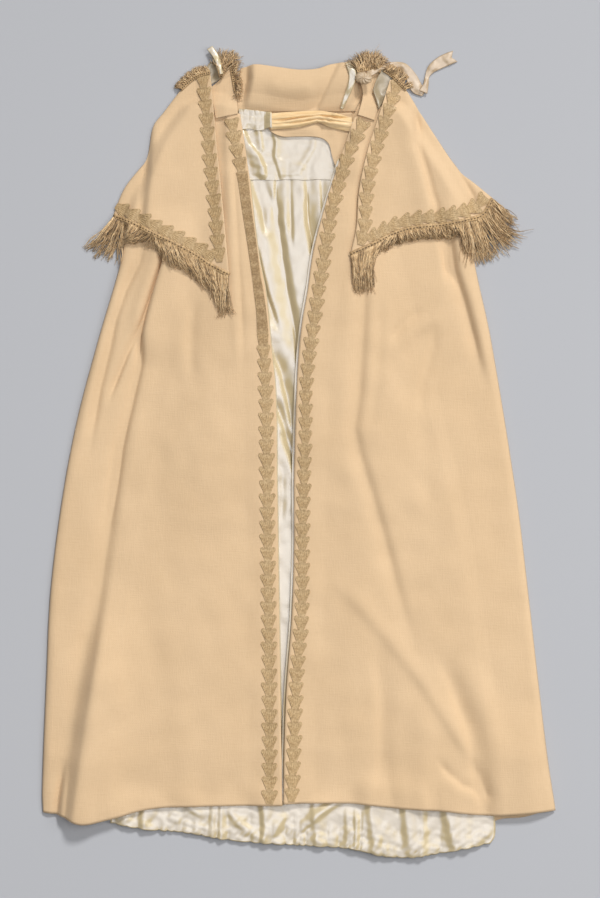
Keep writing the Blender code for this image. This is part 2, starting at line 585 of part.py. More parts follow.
def lay_capelet():
    """Fronts of the shoulder cape, rolled over at the shoulders, with their braids and hem fringe."""
    neck_left = Point(-172, 618)
    edges = panel_edges(shifted(CAPELET_LEFT_SIDE, WOOL), CAPELET_LEFT_EDGE, CAPELET_LEFT_HEM, [neck_left])
    lay_cloth("capelet_left", edges, rolled_columns(CAPELET_WIDTH, 9, "left"), even(12), WOOL, "wool",
              Reach(14, 20), roll="left",
              lift=lambda x, y, u, v: CAPELET_AIR * (1 - u) + fold_height(x, y, CAPELET_LEFT_FOLDS))
    neck_right = Point(163, 610)
    side = shifted(CAPELET_RIGHT_SIDE, -WOOL)
    edges = panel_edges(CAPELET_RIGHT_EDGE, side, CAPELET_RIGHT_HEM, [neck_right])
    lay_cloth("capelet_right", edges, rolled_columns(CAPELET_WIDTH, 9, "right"), even(12), WOOL, "wool",
              Reach(14, 20), roll="right",
              lift=lambda x, y, u, v: CAPELET_AIR * u + fold_height(x, y, CAPELET_RIGHT_FOLDS))

    root = [CAPELET_LEFT_SIDE[-1], neck_left, CAPELET_LEFT_EDGE[-1]]
    lay_fringe("fringe_neck_left", root, NECK_LEFT_LOCKS, 12, "capelet_left", outward=1.0,
               heading=NECK_HEADING_WIDTH, gap=NECK_HEADING_GAP)
    root = [CAPELET_RIGHT_EDGE[-1], neck_right, CAPELET_RIGHT_SIDE[-1]]
    lay_fringe("fringe_neck_right", root, NECK_RIGHT_LOCKS, 8, "capelet_right", outward=1.0,
               heading=NECK_HEADING_WIDTH, gap=NECK_HEADING_GAP)

    def edge_stops(edge, across):
        spots = [along(edge, share) for share in (1.0, 0.75, 0.5, 0.25, BRAID_CORNER_SHARE)]
        return [Stop(spot.x + across, spot.y, CAPE_BRAID_WIDTH) for spot in spots]

    def hem_stops(hem, shares, across, up):
        spots = [along(hem, share) for share in shares]
        return [Stop(spot.x + across, spot.y + up, CAPE_HEM_BRAID_WIDTH) for spot in spots]

    lay_braid("braid_capelet_left", edge_stops(CAPELET_LEFT_EDGE, -BRAID_INSET))
    lay_braid("braid_capelet_right", edge_stops(CAPELET_RIGHT_EDGE, BRAID_INSET))
    hem = [CAPELET_LEFT_SIDE[0], *CAPELET_LEFT_HEM, CAPELET_LEFT_EDGE[0]]
    lay_braid("braid_hem_left", hem_stops(hem, (0.8, 0.55, 0.3, 0.08), 7, 14))
    lay_fringe("fringe_hem_left", hem, HEM_LEFT_LOCKS, 44, "capelet_left")
    hem = [CAPELET_RIGHT_EDGE[0], *CAPELET_RIGHT_HEM, CAPELET_RIGHT_SIDE[0]]
    lay_braid("braid_hem_right", hem_stops(hem, (0.92, 0.75, 0.5, 0.25), -4, 15))
    lay_fringe("fringe_hem_right", hem, HEM_RIGHT_LOCKS, 46, "capelet_right")


def lay_ribbons():
    """Satin neck ribbons: a short left end, and a knot, a band and a long tail on the right."""
    stops = [Stop(-148, 667, 9), Stop(-138, 654, 8), Stop(-127, 624, 8)]
    lay_ribbon("ribbon_left", stops, even(12), 1, Reach(5, 5))
    stops = [Stop(71, 638, 9), Stop(76, 613, 10), Stop(66, 572, 10)]
    lay_ribbon("ribbon_collar", stops, even(8), 1, Reach(7, 9))
    stops = [
        Stop(106, 620, 14), Stop(144, 639, 20), Stop(170, 636, 22), Stop(184, 617, 22), Stop(194, 593, 16)]
    lay_ribbon("ribbon_band", stops, even(16), 3, Reach(9, 9))
    stops = [
        Stop(196, 590, 14), Stop(211, 613, 9), Stop(215, 639, 12), Stop(226, 655, 16), Stop(256, 654, 14)]
    lay_ribbon("ribbon_tail", stops, even(18), 2, Reach(4, 4))

    middle = Point(105, 614)
    ground = resting_height(middle.x, middle.y, Reach(14, 14)) + KNOT_DEPTH / 2 * KNOT_SOFT_SHARE
    bm = bmesh.new()
    bmesh.ops.create_cube(bm, size=1.0)
    bmesh.ops.scale(bm, vec=Vector((KNOT_WIDTH, KNOT_LENGTH, KNOT_DEPTH)) * MM, verts=bm.verts)
    bmesh.ops.translate(bm, vec=Vector((middle.x, middle.y, ground)) * MM, verts=bm.verts)
    knot = add_piece("ribbon_knot", bm, "ribbon")
    soften = knot.modifiers.new("soften", "SUBSURF")
    soften.levels = 2
    soften.render_levels = 2
    remember(knot)


lay_lower_layers()
lay_lining()
lay_fronts()
lay_collar()
lay_capelet()
lay_ribbons()
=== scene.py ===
import math
from collections import namedtuple

import bpy
import numpy as np
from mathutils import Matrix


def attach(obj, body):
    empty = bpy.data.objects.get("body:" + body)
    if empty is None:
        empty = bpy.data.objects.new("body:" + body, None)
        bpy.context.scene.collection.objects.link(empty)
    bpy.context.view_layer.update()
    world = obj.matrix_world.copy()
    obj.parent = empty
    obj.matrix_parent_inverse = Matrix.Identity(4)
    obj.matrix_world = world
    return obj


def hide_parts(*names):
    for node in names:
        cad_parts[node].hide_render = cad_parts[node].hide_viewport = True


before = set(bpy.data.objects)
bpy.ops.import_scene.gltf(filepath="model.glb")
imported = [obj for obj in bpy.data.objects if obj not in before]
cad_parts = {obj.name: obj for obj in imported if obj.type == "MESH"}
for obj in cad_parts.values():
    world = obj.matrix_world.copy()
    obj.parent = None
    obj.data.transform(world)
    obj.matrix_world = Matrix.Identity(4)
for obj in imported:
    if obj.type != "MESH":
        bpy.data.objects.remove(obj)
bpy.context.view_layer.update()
bpy.ops.object.select_all(action="DESELECT")

# Back of the shoulder cape. One piece of cream wool, seamed to the cape's fronts at the shoulders.
# It lies flat on the surface under the whole cloak, so only its rim is ever seen.
MM = 0.001
SEAM = 0.3
WOOL_WALL = 2.0
CELL = 2.0
WEST = -460.0
SOUTH = -720.0
CELLS_UP = 720
CELLS_ACROSS = 460
FILL_STEP = 0.8
FOLD_FADE = 0.25
REST_SOFTNESS = 0.5
Point = namedtuple("Point", "x y")
Fold = namedtuple("Fold", "rise width steep path")
ground = np.zeros((CELLS_UP, CELLS_ACROSS))


def even(count):
    """Shares spread evenly from end to end."""
    return np.linspace(0, 1, count)


def eased(share):
    """A share that starts and stops gently."""
    return share ** 2 * (3 - 2 * share)


def line_at(table, shares):
    """Rows at shares of the length of a smooth line through a table of points."""
    rows = np.array(table, float)
    knots = np.concatenate(([0.0], np.cumsum(np.hypot(*np.diff(rows[:, :2], axis=0).T))))
    place = np.arange(len(rows))
    before = np.maximum(place - 1, 0)
    after = np.minimum(place + 1, len(rows) - 1)
    slopes = (rows[after] - rows[before]) / (knots[after] - knots[before])[:, None]
    distance = np.clip(shares, 0.0, 1.0) * knots[-1]
    i = np.clip(np.searchsorted(knots, distance) - 1, 0, len(rows) - 2)
    span = (knots[i + 1] - knots[i])[:, None]
    t = (distance - knots[i])[:, None] / span
    return (rows[i] * (2 * t ** 3 - 3 * t ** 2 + 1) + slopes[i] * span * (t ** 3 - 2 * t ** 2 + t)
            + rows[i + 1] * (3 * t ** 2 - 2 * t ** 3) + slopes[i + 1] * span * (t ** 3 - t ** 2))


def length_of(table):
    """Length of the straight runs between a table's points."""
    rows = np.array(table, float)
    return np.hypot(*np.diff(rows[:, :2], axis=0).T).sum()


def panel(left, right, columns, rows, bottom=(), top=()):
    """Spots of a panel between its four edges; bottom and top give the points between the corners."""
    u = np.asarray(columns)[None, :, None]
    v = np.asarray(rows)[:, None, None]
    low = np.array([left[0], *bottom, right[0]], float)
    high = np.array([left[-1], *top, right[-1]], float)
    across = line_at(left, rows)[:, None] * (1 - u) + line_at(right, rows)[:, None] * u
    up = line_at(low, columns)[None] * (1 - v) + line_at(high, columns)[None] * v
    corners = (low[0] * (1 - u) + low[-1] * u) * (1 - v) + (high[0] * (1 - u) + high[-1] * u) * v
    return across + up - corners


def softened(reach):
    """Height at which cloth that bends over a reach lies, nowhere below what is under it."""
    steps = max(1, round(reach / CELL))
    field = ground
    for gather in (np.max, np.mean):
        for axis in (0, 1):
            field = gather([np.roll(field, k, axis) for k in range(-steps, steps + 1)], axis=0)
    return field


def height_at(field, spots):
    """Height of a field at each spot, between its cells."""
    j = (spots[..., 1] - SOUTH) / CELL
    i = (spots[..., 0] - WEST) / CELL
    j0 = np.floor(j).astype(int)
    i0 = np.floor(i).astype(int)
    b = j - j0
    a = i - i0
    return ((field[j0, i0] * (1 - a) + field[j0, i0 + 1] * a) * (1 - b)
            + (field[j0 + 1, i0] * (1 - a) + field[j0 + 1, i0 + 1] * a) * b)


def settle(spots, tops):
    """Raise the ground to the top of what has just been laid."""
    surface = np.concatenate((spots, tops[..., None]), axis=2)
    for axis in (0, 1):
        step = np.linalg.norm(np.diff(surface[..., :2], axis=axis), axis=2).max()
        parts = math.ceil(step / (FILL_STEP * CELL))
        at = np.linspace(0, surface.shape[axis] - 1, (surface.shape[axis] - 1) * parts + 1)
        low = np.minimum(at.astype(int), surface.shape[axis] - 2)
        share = np.expand_dims(at - low, (1, 2) if axis == 0 else (0, 2))
        surface = np.take(surface, low, axis) * (1 - share) + np.take(surface, low + 1, axis) * share
    j = np.rint((surface[..., 1] - SOUTH) / CELL).astype(int)
    i = np.rint((surface[..., 0] - WEST) / CELL).astype(int)
    np.maximum.at(ground, (j, i), surface[..., 2])


def folds_at(spots, folds):
    """Rise of the ridges and fall of the hollows; each is narrower on the left of its path if steep < 1."""
    total = np.zeros(spots.shape[:2])
    for fold in folds:
        path = np.array(fold.path, float)
        runs = np.diff(path, axis=0)
        lengths = np.hypot(*runs.T)
        nearest = np.full(total.shape, np.inf)
        side = np.zeros(total.shape)
        place = np.zeros(total.shape)
        for k, run in enumerate(runs):
            t = np.clip((spots - path[k]) @ run / (run @ run), 0.0, 1.0)
            off = spots - path[k] - t[..., None] * run
            distance = np.hypot(off[..., 0], off[..., 1])
            closer = distance < nearest
            nearest = np.where(closer, distance, nearest)
            side = np.where(closer, run[0] * off[..., 1] - run[1] * off[..., 0], side)
            place = np.where(closer, (lengths[:k].sum() + t * lengths[k]) / lengths.sum(), place)
        spread = np.where(side > 0, fold.width * fold.steep, fold.width / fold.steep)
        fade = eased(np.clip(np.minimum(place, 1 - place) / FOLD_FADE, 0.0, 1.0))
        total += fold.rise * fade * np.exp(-(nearest / spread) ** 2)
    return total


def cloth(name, spots, height, wall):
    """A grid moved to its spots, with its wall grown upwards."""
    rows, columns = height.shape
    bpy.ops.mesh.primitive_grid_add(x_subdivisions=columns - 1, y_subdivisions=rows - 1, size=2.0)
    piece = bpy.context.active_object
    piece.name = name
    piece.data.name = name
    place = np.empty(len(piece.data.vertices) * 3)
    piece.data.vertices.foreach_get("co", place)
    place = place.reshape(-1, 3)
    i = np.rint((place[:, 0] + 1) / 2 * (columns - 1)).astype(int)
    j = np.rint((place[:, 1] + 1) / 2 * (rows - 1)).astype(int)
    place = np.concatenate((spots[j, i], height[j, i][:, None]), axis=1) * MM
    piece.data.vertices.foreach_set("co", place.ravel())
    solidify = piece.modifiers.new("wall", "SOLIDIFY")
    solidify.thickness = wall * MM
    solidify.offset = 1.0
    bpy.ops.object.modifier_apply(modifier="wall")
    bpy.ops.object.shade_smooth()
    piece.select_set(False)
    return piece


def lay(name, spots, wall, reach, rise=0.0):
    """Lay a panel on what is under it, with the rise of its own folds and the air below it."""
    rise = np.broadcast_to(rise, spots.shape[:2])
    clear = (rise + np.sqrt(rise ** 2 + REST_SOFTNESS)) / 2
    height = height_at(softened(reach), spots) + SEAM + clear
    piece = cloth(name, spots, height, wall)
    settle(spots, height + wall)
    return piece


def set_sockets(made, sockets):
    """Set a node's sockets by their names, with _ for each space."""
    for socket, value in sockets.items():
        made.inputs[socket.replace("_", " ")].default_value = value


def node(tree, kind, **sockets):
    """A new node with its sockets set."""
    made = tree.nodes.new("ShaderNode" + kind)
    set_sockets(made, sockets)
    return made


def finish_of(name, **sockets):
    """A new material, its nodes, its shader with the values set that are the same all over, and its place."""
    material = bpy.data.materials.new(name)
    material.use_nodes = True
    tree = material.node_tree
    shader = tree.nodes["Principled BSDF"]
    set_sockets(shader, sockets)
    return material, tree, shader, node(tree, "TexCoord").outputs["Object"]


def blended(tree, share, low, high):
    """Colour between two, by a share; each is a value or comes from another node."""
    mix = tree.nodes.new("ShaderNodeMix")
    mix.data_type = "RGBA"
    for socket, value in ((mix.inputs[0], share), (mix.inputs[6], low), (mix.inputs[7], high)):
        if isinstance(value, bpy.types.NodeSocket):
            tree.links.new(value, socket)
        else:
            socket.default_value = value if isinstance(value, float) else (*value, 1.0)
    return mix.outputs[2]


def summed(tree, one, other):
    """Two values added."""
    total = node(tree, "Math")
    total.operation = "ADD"
    tree.links.new(one, total.inputs[0])
    tree.links.new(other, total.inputs[1])
    return total.outputs[0]


def bumped(tree, height, strength, depth, under=None):
    """Normals of a fine relief, over those of another relief if there is one."""
    bump = node(tree, "Bump", Strength=strength, Distance=depth)
    tree.links.new(height, bump.inputs["Height"])
    if under:
        tree.links.new(under, bump.inputs["Normal"])
    return bump.outputs["Normal"]


def patterned(tree, coordinates, scale, detail, rough=0.5, stretch=(1.0, 1.0, 1.0)):
    """Noise of a scale in each metre, drawn out along an axis by a stretch."""
    mapping = node(tree, "Mapping", Scale=stretch)
    noise = node(tree, "TexNoise", Scale=scale, Detail=detail, Roughness=rough)
    tree.links.new(coordinates, mapping.inputs["Vector"])
    tree.links.new(mapping.outputs["Vector"], noise.inputs["Vector"])
    return noise.outputs["Fac"]


def stretched(tree, value, low, high, bottom=0.0, top=1.0):
    """A value from low to high, spread out from bottom to top."""
    spread = node(tree, "MapRange", From_Min=low, From_Max=high, To_Min=bottom, To_Max=top)
    tree.links.new(value, spread.inputs["Value"])
    return spread.outputs["Result"]


def wool_cloth(name, pale, shaded):
    """Fine face-cloth: a close weave, faint slubs both ways and soft clouding from wear."""
    material, tree, shader, place = finish_of(
        name, Roughness=0.85, Specular_IOR_Level=0.25, Sheen_Weight=0.2, Sheen_Roughness=0.5,
        Sheen_Tint=(1.0, 0.9, 0.78, 1.0))
    cloud = stretched(tree, patterned(tree, place, scale=7.0, detail=3.0), low=0.3, high=0.7)
    slub = patterned(tree, place, scale=60.0, detail=2.0, stretch=(1.0, 9.0, 1.0))
    warp = patterned(tree, place, scale=60.0, detail=2.0, stretch=(9.0, 1.0, 1.0))
    weave = summed(tree, slub, warp)
    clouded = blended(tree, cloud, shaded, pale)
    slubbed = blended(tree, stretched(tree, weave, low=0.7, high=1.3), shaded, pale)
    tree.links.new(blended(tree, SLUB_SHARE, clouded, slubbed), shader.inputs["Base Color"])
    thread = node(tree, "TexWave", Scale=240.0, Distortion=0.6, Detail=1.0)
    thread.bands_direction = "DIAGONAL"
    tree.links.new(place, thread.inputs["Vector"])
    fine = bumped(tree, thread.outputs["Fac"], strength=0.2, depth=0.0003)
    normal = bumped(tree, weave, strength=0.35, depth=0.0008, under=fine)
    tree.links.new(normal, shader.inputs["Normal"])
    return material


def fit(piece, material, slot, *nodes):
    """Dress a finished piece and put it in the place of its solid."""
    piece.data.materials.clear()
    piece.data.materials.append(material)
    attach(piece, "root")
    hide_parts(*nodes)
    return piece


WOOL_PALE = (0.74, 0.53, 0.322)
WOOL_SHADED = (0.67, 0.47, 0.275)
SLUB_SHARE = 0.4
wool_finish = wool_cloth("cream_wool", WOOL_PALE, WOOL_SHADED)
CAPE_BACK_LEFT = [Point(-305, 393), Point(-286, 437), Point(-249, 488), Point(-238, 537), Point(-190, 596)]
CAPE_BACK_RIGHT = [Point(316, 420), Point(259, 466), Point(221, 520), Point(171, 596)]
CAPE_BACK_HEM = [Point(-150, 335), Point(0, 315), Point(150, 340)]
CAPE_BACK_NECK = [Point(-90, 590), Point(0, 582), Point(85, 590)]
spots = panel(CAPE_BACK_LEFT, CAPE_BACK_RIGHT, even(61), even(31), CAPE_BACK_HEM, CAPE_BACK_NECK)
cape_back = cloth("cape_back_wool", spots, np.zeros(spots.shape[:2]), WOOL_WALL)
fit(cape_back, wool_finish, "wool", "capelet_back")

# Back of the cloak. One wide panel of the same wool from neck to hem, lying on the surface.
# It is seamed to the fronts along both sides, and its upper end lies over the back of the cape.
BACK_LEFT = [
    Point(-420, -588), Point(-423, -560), Point(-416, -375), Point(-409, -230), Point(-390, -78),
    Point(-365, 54), Point(-330, 186), Point(-296, 301), Point(-280, 370), Point(-244, 440),
    Point(-216, 505), Point(-178, 560)]
BACK_RIGHT = [
    Point(420, -586), Point(408, -507), Point(392, -375), Point(377, -243), Point(357, -78),
    Point(314, 186), Point(289, 301), Point(278, 370), Point(243, 435), Point(203, 495), Point(163, 555)]
BACK_HEM = [
    Point(-357, -600), Point(-313, -604), Point(-260, -615), Point(-190, -622), Point(-52, -640),
    Point(85, -647), Point(132, -659), Point(180, -663), Point(271, -651), Point(302, -638),
    Point(322, -608), Point(372, -601)]
BACK_NECK = [Point(-95, 574), Point(0, 562), Point(88, 572)]
BACK_RAMP_START = 120.0
BACK_RAMP_LENGTH = 170.0
spots = panel(BACK_LEFT, BACK_RIGHT, even(101), even(121), BACK_HEM, BACK_NECK)
ramp = np.clip((spots[..., 1] - BACK_RAMP_START) / BACK_RAMP_LENGTH, 0.0, 1.0)
height = (WOOL_WALL + SEAM) * eased(ramp)
cloak_back = cloth("cloak_back_wool", spots, height, WOOL_WALL)
settle(spots, height + WOOL_WALL)
fit(cloak_back, wool_finish, "wool", "back")

# Back of the collar. A soft band of wool that stands at the neck and has fallen open, inside up.
# It is caught in the neck seam, rolls a little at its top and falls away towards each end.
COLLAR_LEFT = [Point(-104, 562), Point(-103, 600), Point(-97, 634)]
COLLAR_RIGHT = [Point(92, 562), Point(106, 604), Point(88, 642)]
COLLAR_TOP = [Point(-73, 638), Point(-40, 634), Point(0, 629), Point(30, 631), Point(54, 639)]
COLLAR_FOOT = [Point(0, 562)]
COLLAR_STAND = 17.0
COLLAR_ROLL = 2.4
COLLAR_FALL = 15.0
COLLAR_BEND = 8
COLLAR_LEFT_TURN = [Point(-82, 570), Point(-73, 614)]
COLLAR_RIGHT_TURN = [Point(78, 570), Point(88, 614)]
COLLAR_FOLDS = [
    Fold(-4, 7, 1.5, [(0, 500), (27, 566), (56, 626), (90, 700)]),
    Fold(2.5, 14, 1.0, [(-60, 606), (-20, 596), (30, 600)])]


def falling(spots, turn, outward):
    """Share of a height that is left beyond a turning line, down to nothing at its foot."""
    line = np.interp(spots[..., 1], [point.y for point in turn], [point.x for point in turn])
    beyond = np.clip((spots[..., 0] - line) * outward / COLLAR_FALL, 0.0, 1.0)
    return 1 - eased(beyond)


spots = panel(COLLAR_LEFT, COLLAR_RIGHT, even(91), even(41), COLLAR_FOOT, COLLAR_TOP)
stand = COLLAR_STAND * np.sin(np.linspace(0, COLLAR_ROLL, 41))[:, None]
stand = stand * falling(spots, COLLAR_LEFT_TURN, -1.0) * falling(spots, COLLAR_RIGHT_TURN, 1.0)
collar_back = lay("collar_back_wool", spots, WOOL_WALL, COLLAR_BEND, folds_at(spots, COLLAR_FOLDS) + stand)
fit(collar_back, wool_finish, "wool", "collar_back")

# Lining of the back. Ivory silk satin, gathered under the yoke above so that it falls in long folds,
# and drawn up along the hem, where it hangs below the wool in many small puckers.
SATIN_WALL = 1.0
SATIN_CLOUD = 0.012
RUMPLE_WAVES = 14
HEM_DEPTH = 70.0
LINING_LEFT = [
    Point(-312, -610), Point(-300, -400), Point(-262, -100), Point(-190, 200), Point(-140, 400),
    Point(-130, 455), Point(-112, 540)]
LINING_RIGHT = [
    Point(314, -644), Point(322, -632), Point(322, -600), Point(300, -400), Point(250, -100),
    Point(175, 200), Point(120, 400), Point(105, 455), Point(92, 540)]
LINING_HEM = [
    Point(-260, -620), Point(-190, -626), Point(-121, -638), Point(-52, -644), Point(87, -653),
    Point(133, -664), Point(179, -667), Point(225, -661)]
LINING_TOP = [Point(0, 538)]
LINING_BEND = 4
LINING_AIR = 9.0
LINING_EASE = 0.2
FULL_SPOTS = (-136.0, 40.0)
FULL_SHARES = (0.12, 1.0)
HEM_AIR = 2.0
HEM_PUFF = 2.4
HEM_SCALLOP = 2.2
SCALLOP_MIDDLE = 0.6
PUCKER_LENGTH = 5.6
PUCKER_DRIFTS = ((1.9, 29.0), (0.8, 11.3))
GATHER_SPOTS = (385.0, 449.0, 500.0, 540.0)
GATHER_SHARES = (1.0, 0.3, 0.05, 0.0)
LINING_LONG_CREASE = [
    (-4, 130), (-6, 186), (-8, 204), (-13, 230), (-20, 260), (-24, 291), (-28, 318), (-31, 344),
    (-35, 370), (-41, 397), (-49, 418), (-57, 436)]
LINING_FOLDS = [
    Fold(-9, 11.5, 1.5, [*LINING_LONG_CREASE, (-66, 470), (-70, 500)]),
    Fold(-8, 6.5, 0.6, [(-36, 376), (-39, 394), (-39, 415), (-38, 441), (-37, 470), (-36, 500)]),
    Fold(-8, 8, 0.6, [
        (24, 310), (21, 334), (20, 352), (15, 375), (13, 402), (13, 433), (14, 470), (14, 500)]),
    Fold(-6, 6, 0.8, [(-56, 352), (-58, 375), (-62, 397), (-74, 436), (-80, 470), (-82, 500)]),
    Fold(-4, 5, 1.3, [(-12, 330), (-14, 370), (-15, 420), (-16, 460), (-17, 500)]),
    Fold(-5, 5, 0.7, [(40, 380), (38, 420), (36, 460), (35, 500)]),
    Fold(-4, 5, 1.2, [(64, 400), (60, 430), (56, 460), (55, 500)]),
    Fold(-5, 6, 1.8, [(-30, 190), (-42, 226), (-54, 262), (-66, 310), (-74, 350)]),
    Fold(-7, 6.5, 0.55, [(-4, 20), (-12, 45), (-22, 95), (-30, 130), (-40, 156), (-48, 190)]),
    Fold(-7, 6.5, 0.55, [(-6, -20), (-19, 20), (-27, 47), (-38, 75), (-46, 96)]),
    Fold(-6, 5.5, 0.6, [(-2, -50), (-9, -29), (-14, -6), (-23, 15), (-32, 36)]),
    Fold(-3, 5, 1.0, [(-28, -140), (-29, -100), (-27, -60), (-29, -20)]),
    Fold(2, 6, 1.0, [(-18, -160), (-20, -110), (-17, -60)]),
    Fold(-6, 1.8, 1.0, LINING_LONG_CREASE),
    Fold(-5, 1.6, 1.0, [(24, 300), (21, 334), (20, 352), (15, 375), (13, 402), (13, 440)]),
    Fold(-5, 1.6, 1.0, [(-37, 366), (-39, 394), (-39, 415), (-38, 446)])]
HEM_FOLDS = [
    Fold(7.5, 17, 1.8, [(116, -530), (119, -590), (122, -640), (120, -690)]),
    Fold(7, 15, 1.8, [(171, -530), (176, -590), (180, -640), (182, -690)]),
    Fold(7.5, 17, 1.8, [(236, -530), (243, -590), (255, -640), (264, -690)]),
    Fold(4, 10, 1.8, [(23, -560), (26, -615), (28, -700)]),
    Fold(3.5, 9, 1.8, [(78, -575), (80, -620), (79, -700)]),
    Fold(3.5, 5, 1.6, [(92, -580), (94, -620), (91, -700)]),
    Fold(3, 5, 1.6, [(106, -580), (105, -620), (101, -700)]),
    Fold(3, 5, 0.6, [(200, -560), (205, -610), (207, -700)]),
    Fold(4, 7, 1.3, [(-8, -630), (6, -618), (18, -608), (32, -596), (48, -586), (74, -570)]),
    Fold(3.5, 7, 1.3, [(-52, -640), (-34, -612), (-20, -590)]),
    Fold(5.5, 11, 1.8, [(-62, -550), (-59, -590), (-56, -615), (-59, -640), (-60, -700)]),
    Fold(3.5, 7, 1.2, [(-122, -580), (-108, -604), (-88, -622), (-64, -634)]),
    Fold(2.5, 5, 1.5, [(-128, -560), (-130, -600), (-132, -700)]),
    Fold(3, 5, 1.6, [(-142, -570), (-145, -612), (-150, -700)]),
    Fold(2.5, 6, 1.2, [(-200, -560), (-176, -590), (-150, -604)]),
    Fold(4, 9, 1.8, [(-252, -560), (-257, -600), (-260, -700)]),
    Fold(3.5, 8, 1.6, [(-282, -560), (-287, -600), (-290, -700)])]


def graded(ends, counts):
    """Shares from end to end, with their own count of steps in each stretch."""
    stretches = zip(ends, ends[1:], counts)
    runs = [np.linspace(low, high, count, endpoint=False) for low, high, count in stretches]
    return np.concatenate((*runs, ends[-1:]))


def rumpled(spots, length, rise, seed):
    """Irregular dents of about one length, from waves that cross in many directions."""
    chance = np.random.default_rng(seed)
    total = np.zeros(spots.shape[:2])
    least = (0.0, 0.7, 0.0)
    most = (math.pi, 1.5, 2 * math.pi)
    for angle, size, phase in chance.uniform(least, most, (RUMPLE_WAVES, 3)):
        along = spots[..., 0] * math.cos(angle) + spots[..., 1] * math.sin(angle)
        total += np.sin(2 * math.pi * along / (length * size) + phase)
    return rise * total / math.sqrt(RUMPLE_WAVES / 2)


def marked(tree, name):
    """The share that each point of a piece is marked with."""
    mark = tree.nodes.new("ShaderNodeAttribute")
    mark.attribute_name = name
    return mark.outputs["Fac"]


def satin_cloth(name, slope_shade, ivory, gloss, roughness):
    """Old silk satin: ivory and glossy where it lies level; the sides of its folds are coloured a darker
    yellow-brown by how level each spot lies, a painted shade.
    """
    material, tree, shader, place = finish_of(
        name, Roughness=0.55, Specular_IOR_Level=0.25, Coat_Weight=1.0, Coat_IOR=gloss,
        Coat_Roughness=roughness)
    cloud = patterned(tree, place, scale=30.0, detail=3.0)
    cloud = stretched(tree, cloud, low=0.3, high=0.7, bottom=-SATIN_CLOUD, top=SATIN_CLOUD)
    # Painted shade: the less level a spot lies, the nearer its colour goes to the darker colour.
    level_shade = summed(tree, marked(tree, "level"), cloud)
    colour = blended(tree, stretched(tree, level_shade, low=0.92, high=0.993), slope_shade, ivory)
    tree.links.new(colour, shader.inputs["Base Color"])
    thread = patterned(tree, place, scale=200.0, detail=2.0, stretch=(6.0, 1.0, 1.0))
    crumple = bumped(tree, patterned(tree, place, scale=75.0, detail=4.0), strength=0.22, depth=0.002)
    normal = bumped(tree, thread, strength=0.15, depth=0.0003, under=crumple)
    tree.links.new(normal, shader.inputs["Normal"])
    tree.links.new(normal, shader.inputs["Coat Normal"])
    return material


def fit_silk(piece, material, slot, solid):
    """Mark how level each spot of a silk piece lies, which sets the painted shade of its finish, and fit it.
    """
    normals = np.empty(len(piece.data.vertices) * 3)
    piece.data.vertices.foreach_get("normal", normals)
    level = np.abs(normals.reshape(-1, 3)[:, 2])
    piece.data.attributes.new("level", "FLOAT", "POINT").data.foreach_set("value", level)
    return fit(piece, material, slot, solid)


# The first colour is the painted shade on the sides of the folds; the second is the satin where it lies
# level.
SATIN_SLOPE_SHADE = (0.60, 0.48, 0.275)
SATIN_IVORY = (0.675, 0.595, 0.49)
satin_finish = satin_cloth("ivory_satin", SATIN_SLOPE_SHADE, SATIN_IVORY, gloss=1.85, roughness=0.34)
columns = graded((0.0, 0.28, 0.72, 1.0), (50, 130, 50))
rows = graded((0.0, 0.065, 0.3, 1.0), (40, 13, 145))
spots = panel(LINING_LEFT, LINING_RIGHT, columns, rows, LINING_HEM, LINING_TOP)
near_hem = np.clip(1 - (spots[..., 1] - spots[:1, :, 1]) / HEM_DEPTH, 0.0, 1.0)
across = spots[..., 0]
drift = sum(sway * np.sin(across / length) for sway, length in PUCKER_DRIFTS)
puff = np.sqrt(np.abs(np.sin(across / PUCKER_LENGTH + drift)))
spots[..., 1] += near_hem ** 3 * HEM_SCALLOP * (SCALLOP_MIDDLE - puff)
rise = (LINING_AIR + folds_at(spots, LINING_FOLDS)) * np.interp(spots[..., 1], FULL_SPOTS, FULL_SHARES)
rise *= eased(np.clip(np.minimum(columns, 1 - columns) / LINING_EASE, 0.0, 1.0))
rise *= np.interp(spots[..., 1], GATHER_SPOTS, GATHER_SHARES)
hem_rumples = rumpled(spots, length=15, rise=0.45, seed=5) + rumpled(spots, length=34, rise=0.7, seed=6)
body_rumples = rumpled(spots, length=42, rise=0.35, seed=7) + rumpled(spots, length=24, rise=0.3, seed=12)
rise = (rise + body_rumples) * (1 - near_hem) + (HEM_AIR + hem_rumples) * near_hem
rise = rise + near_hem ** 2 * HEM_PUFF * puff + folds_at(spots, HEM_FOLDS)
lining_back = lay("lining_back_satin", spots, SATIN_WALL, LINING_BEND, rise)
fit_silk(lining_back, satin_finish, "satin", "lining_back")

# Yoke of the lining. A shallow piece of the same satin, cut flat and seamed down over the gathers.
# It is a little puckered along that seam, and its top runs on under the neck facing.
YOKE_WALL = 0.25
YOKE_BEND = 2
YOKE_LEFT = [Point(-126, 449), Point(-106, 545)]
YOKE_RIGHT = [Point(103, 449), Point(88, 545)]
YOKE_SEAM = [
    Point(-92, 448.2), Point(-70, 449.6), Point(-44, 448.4), Point(-20, 449.8), Point(8, 448.8),
    Point(30, 450), Point(60, 448.6)]
YOKE_PUCKER = 0.2
YOKE_PUCKER_LENGTH = 2.6
YOKE_PUCKER_SWAY = 11.0
YOKE_TUCK_ROWS = (0, 6, 60)
YOKE_TUCK_RISES = (-2.0, 0.1, 0.6)
YOKE_FOLDS = [
    Fold(5, 6.5, 0.6, [(-98, 545), (-92, 526), (-84, 507), (-71, 492), (-60, 470), (-54, 436)]),
    Fold(3.5, 5, 1.5, [(-46, 540), (-38, 512), (-40, 488), (-32, 462), (-28, 436)]),
    Fold(2.5, 5, 0.8, [(-70, 540), (-64, 515), (-62, 490)]),
    Fold(1.4, 7, 1.0, [(-24, 452), (-2, 462), (20, 500), (26, 530)]),
    Fold(-1.4, 5, 1.0, [(0, 446), (14, 468), (30, 500), (36, 530)])]


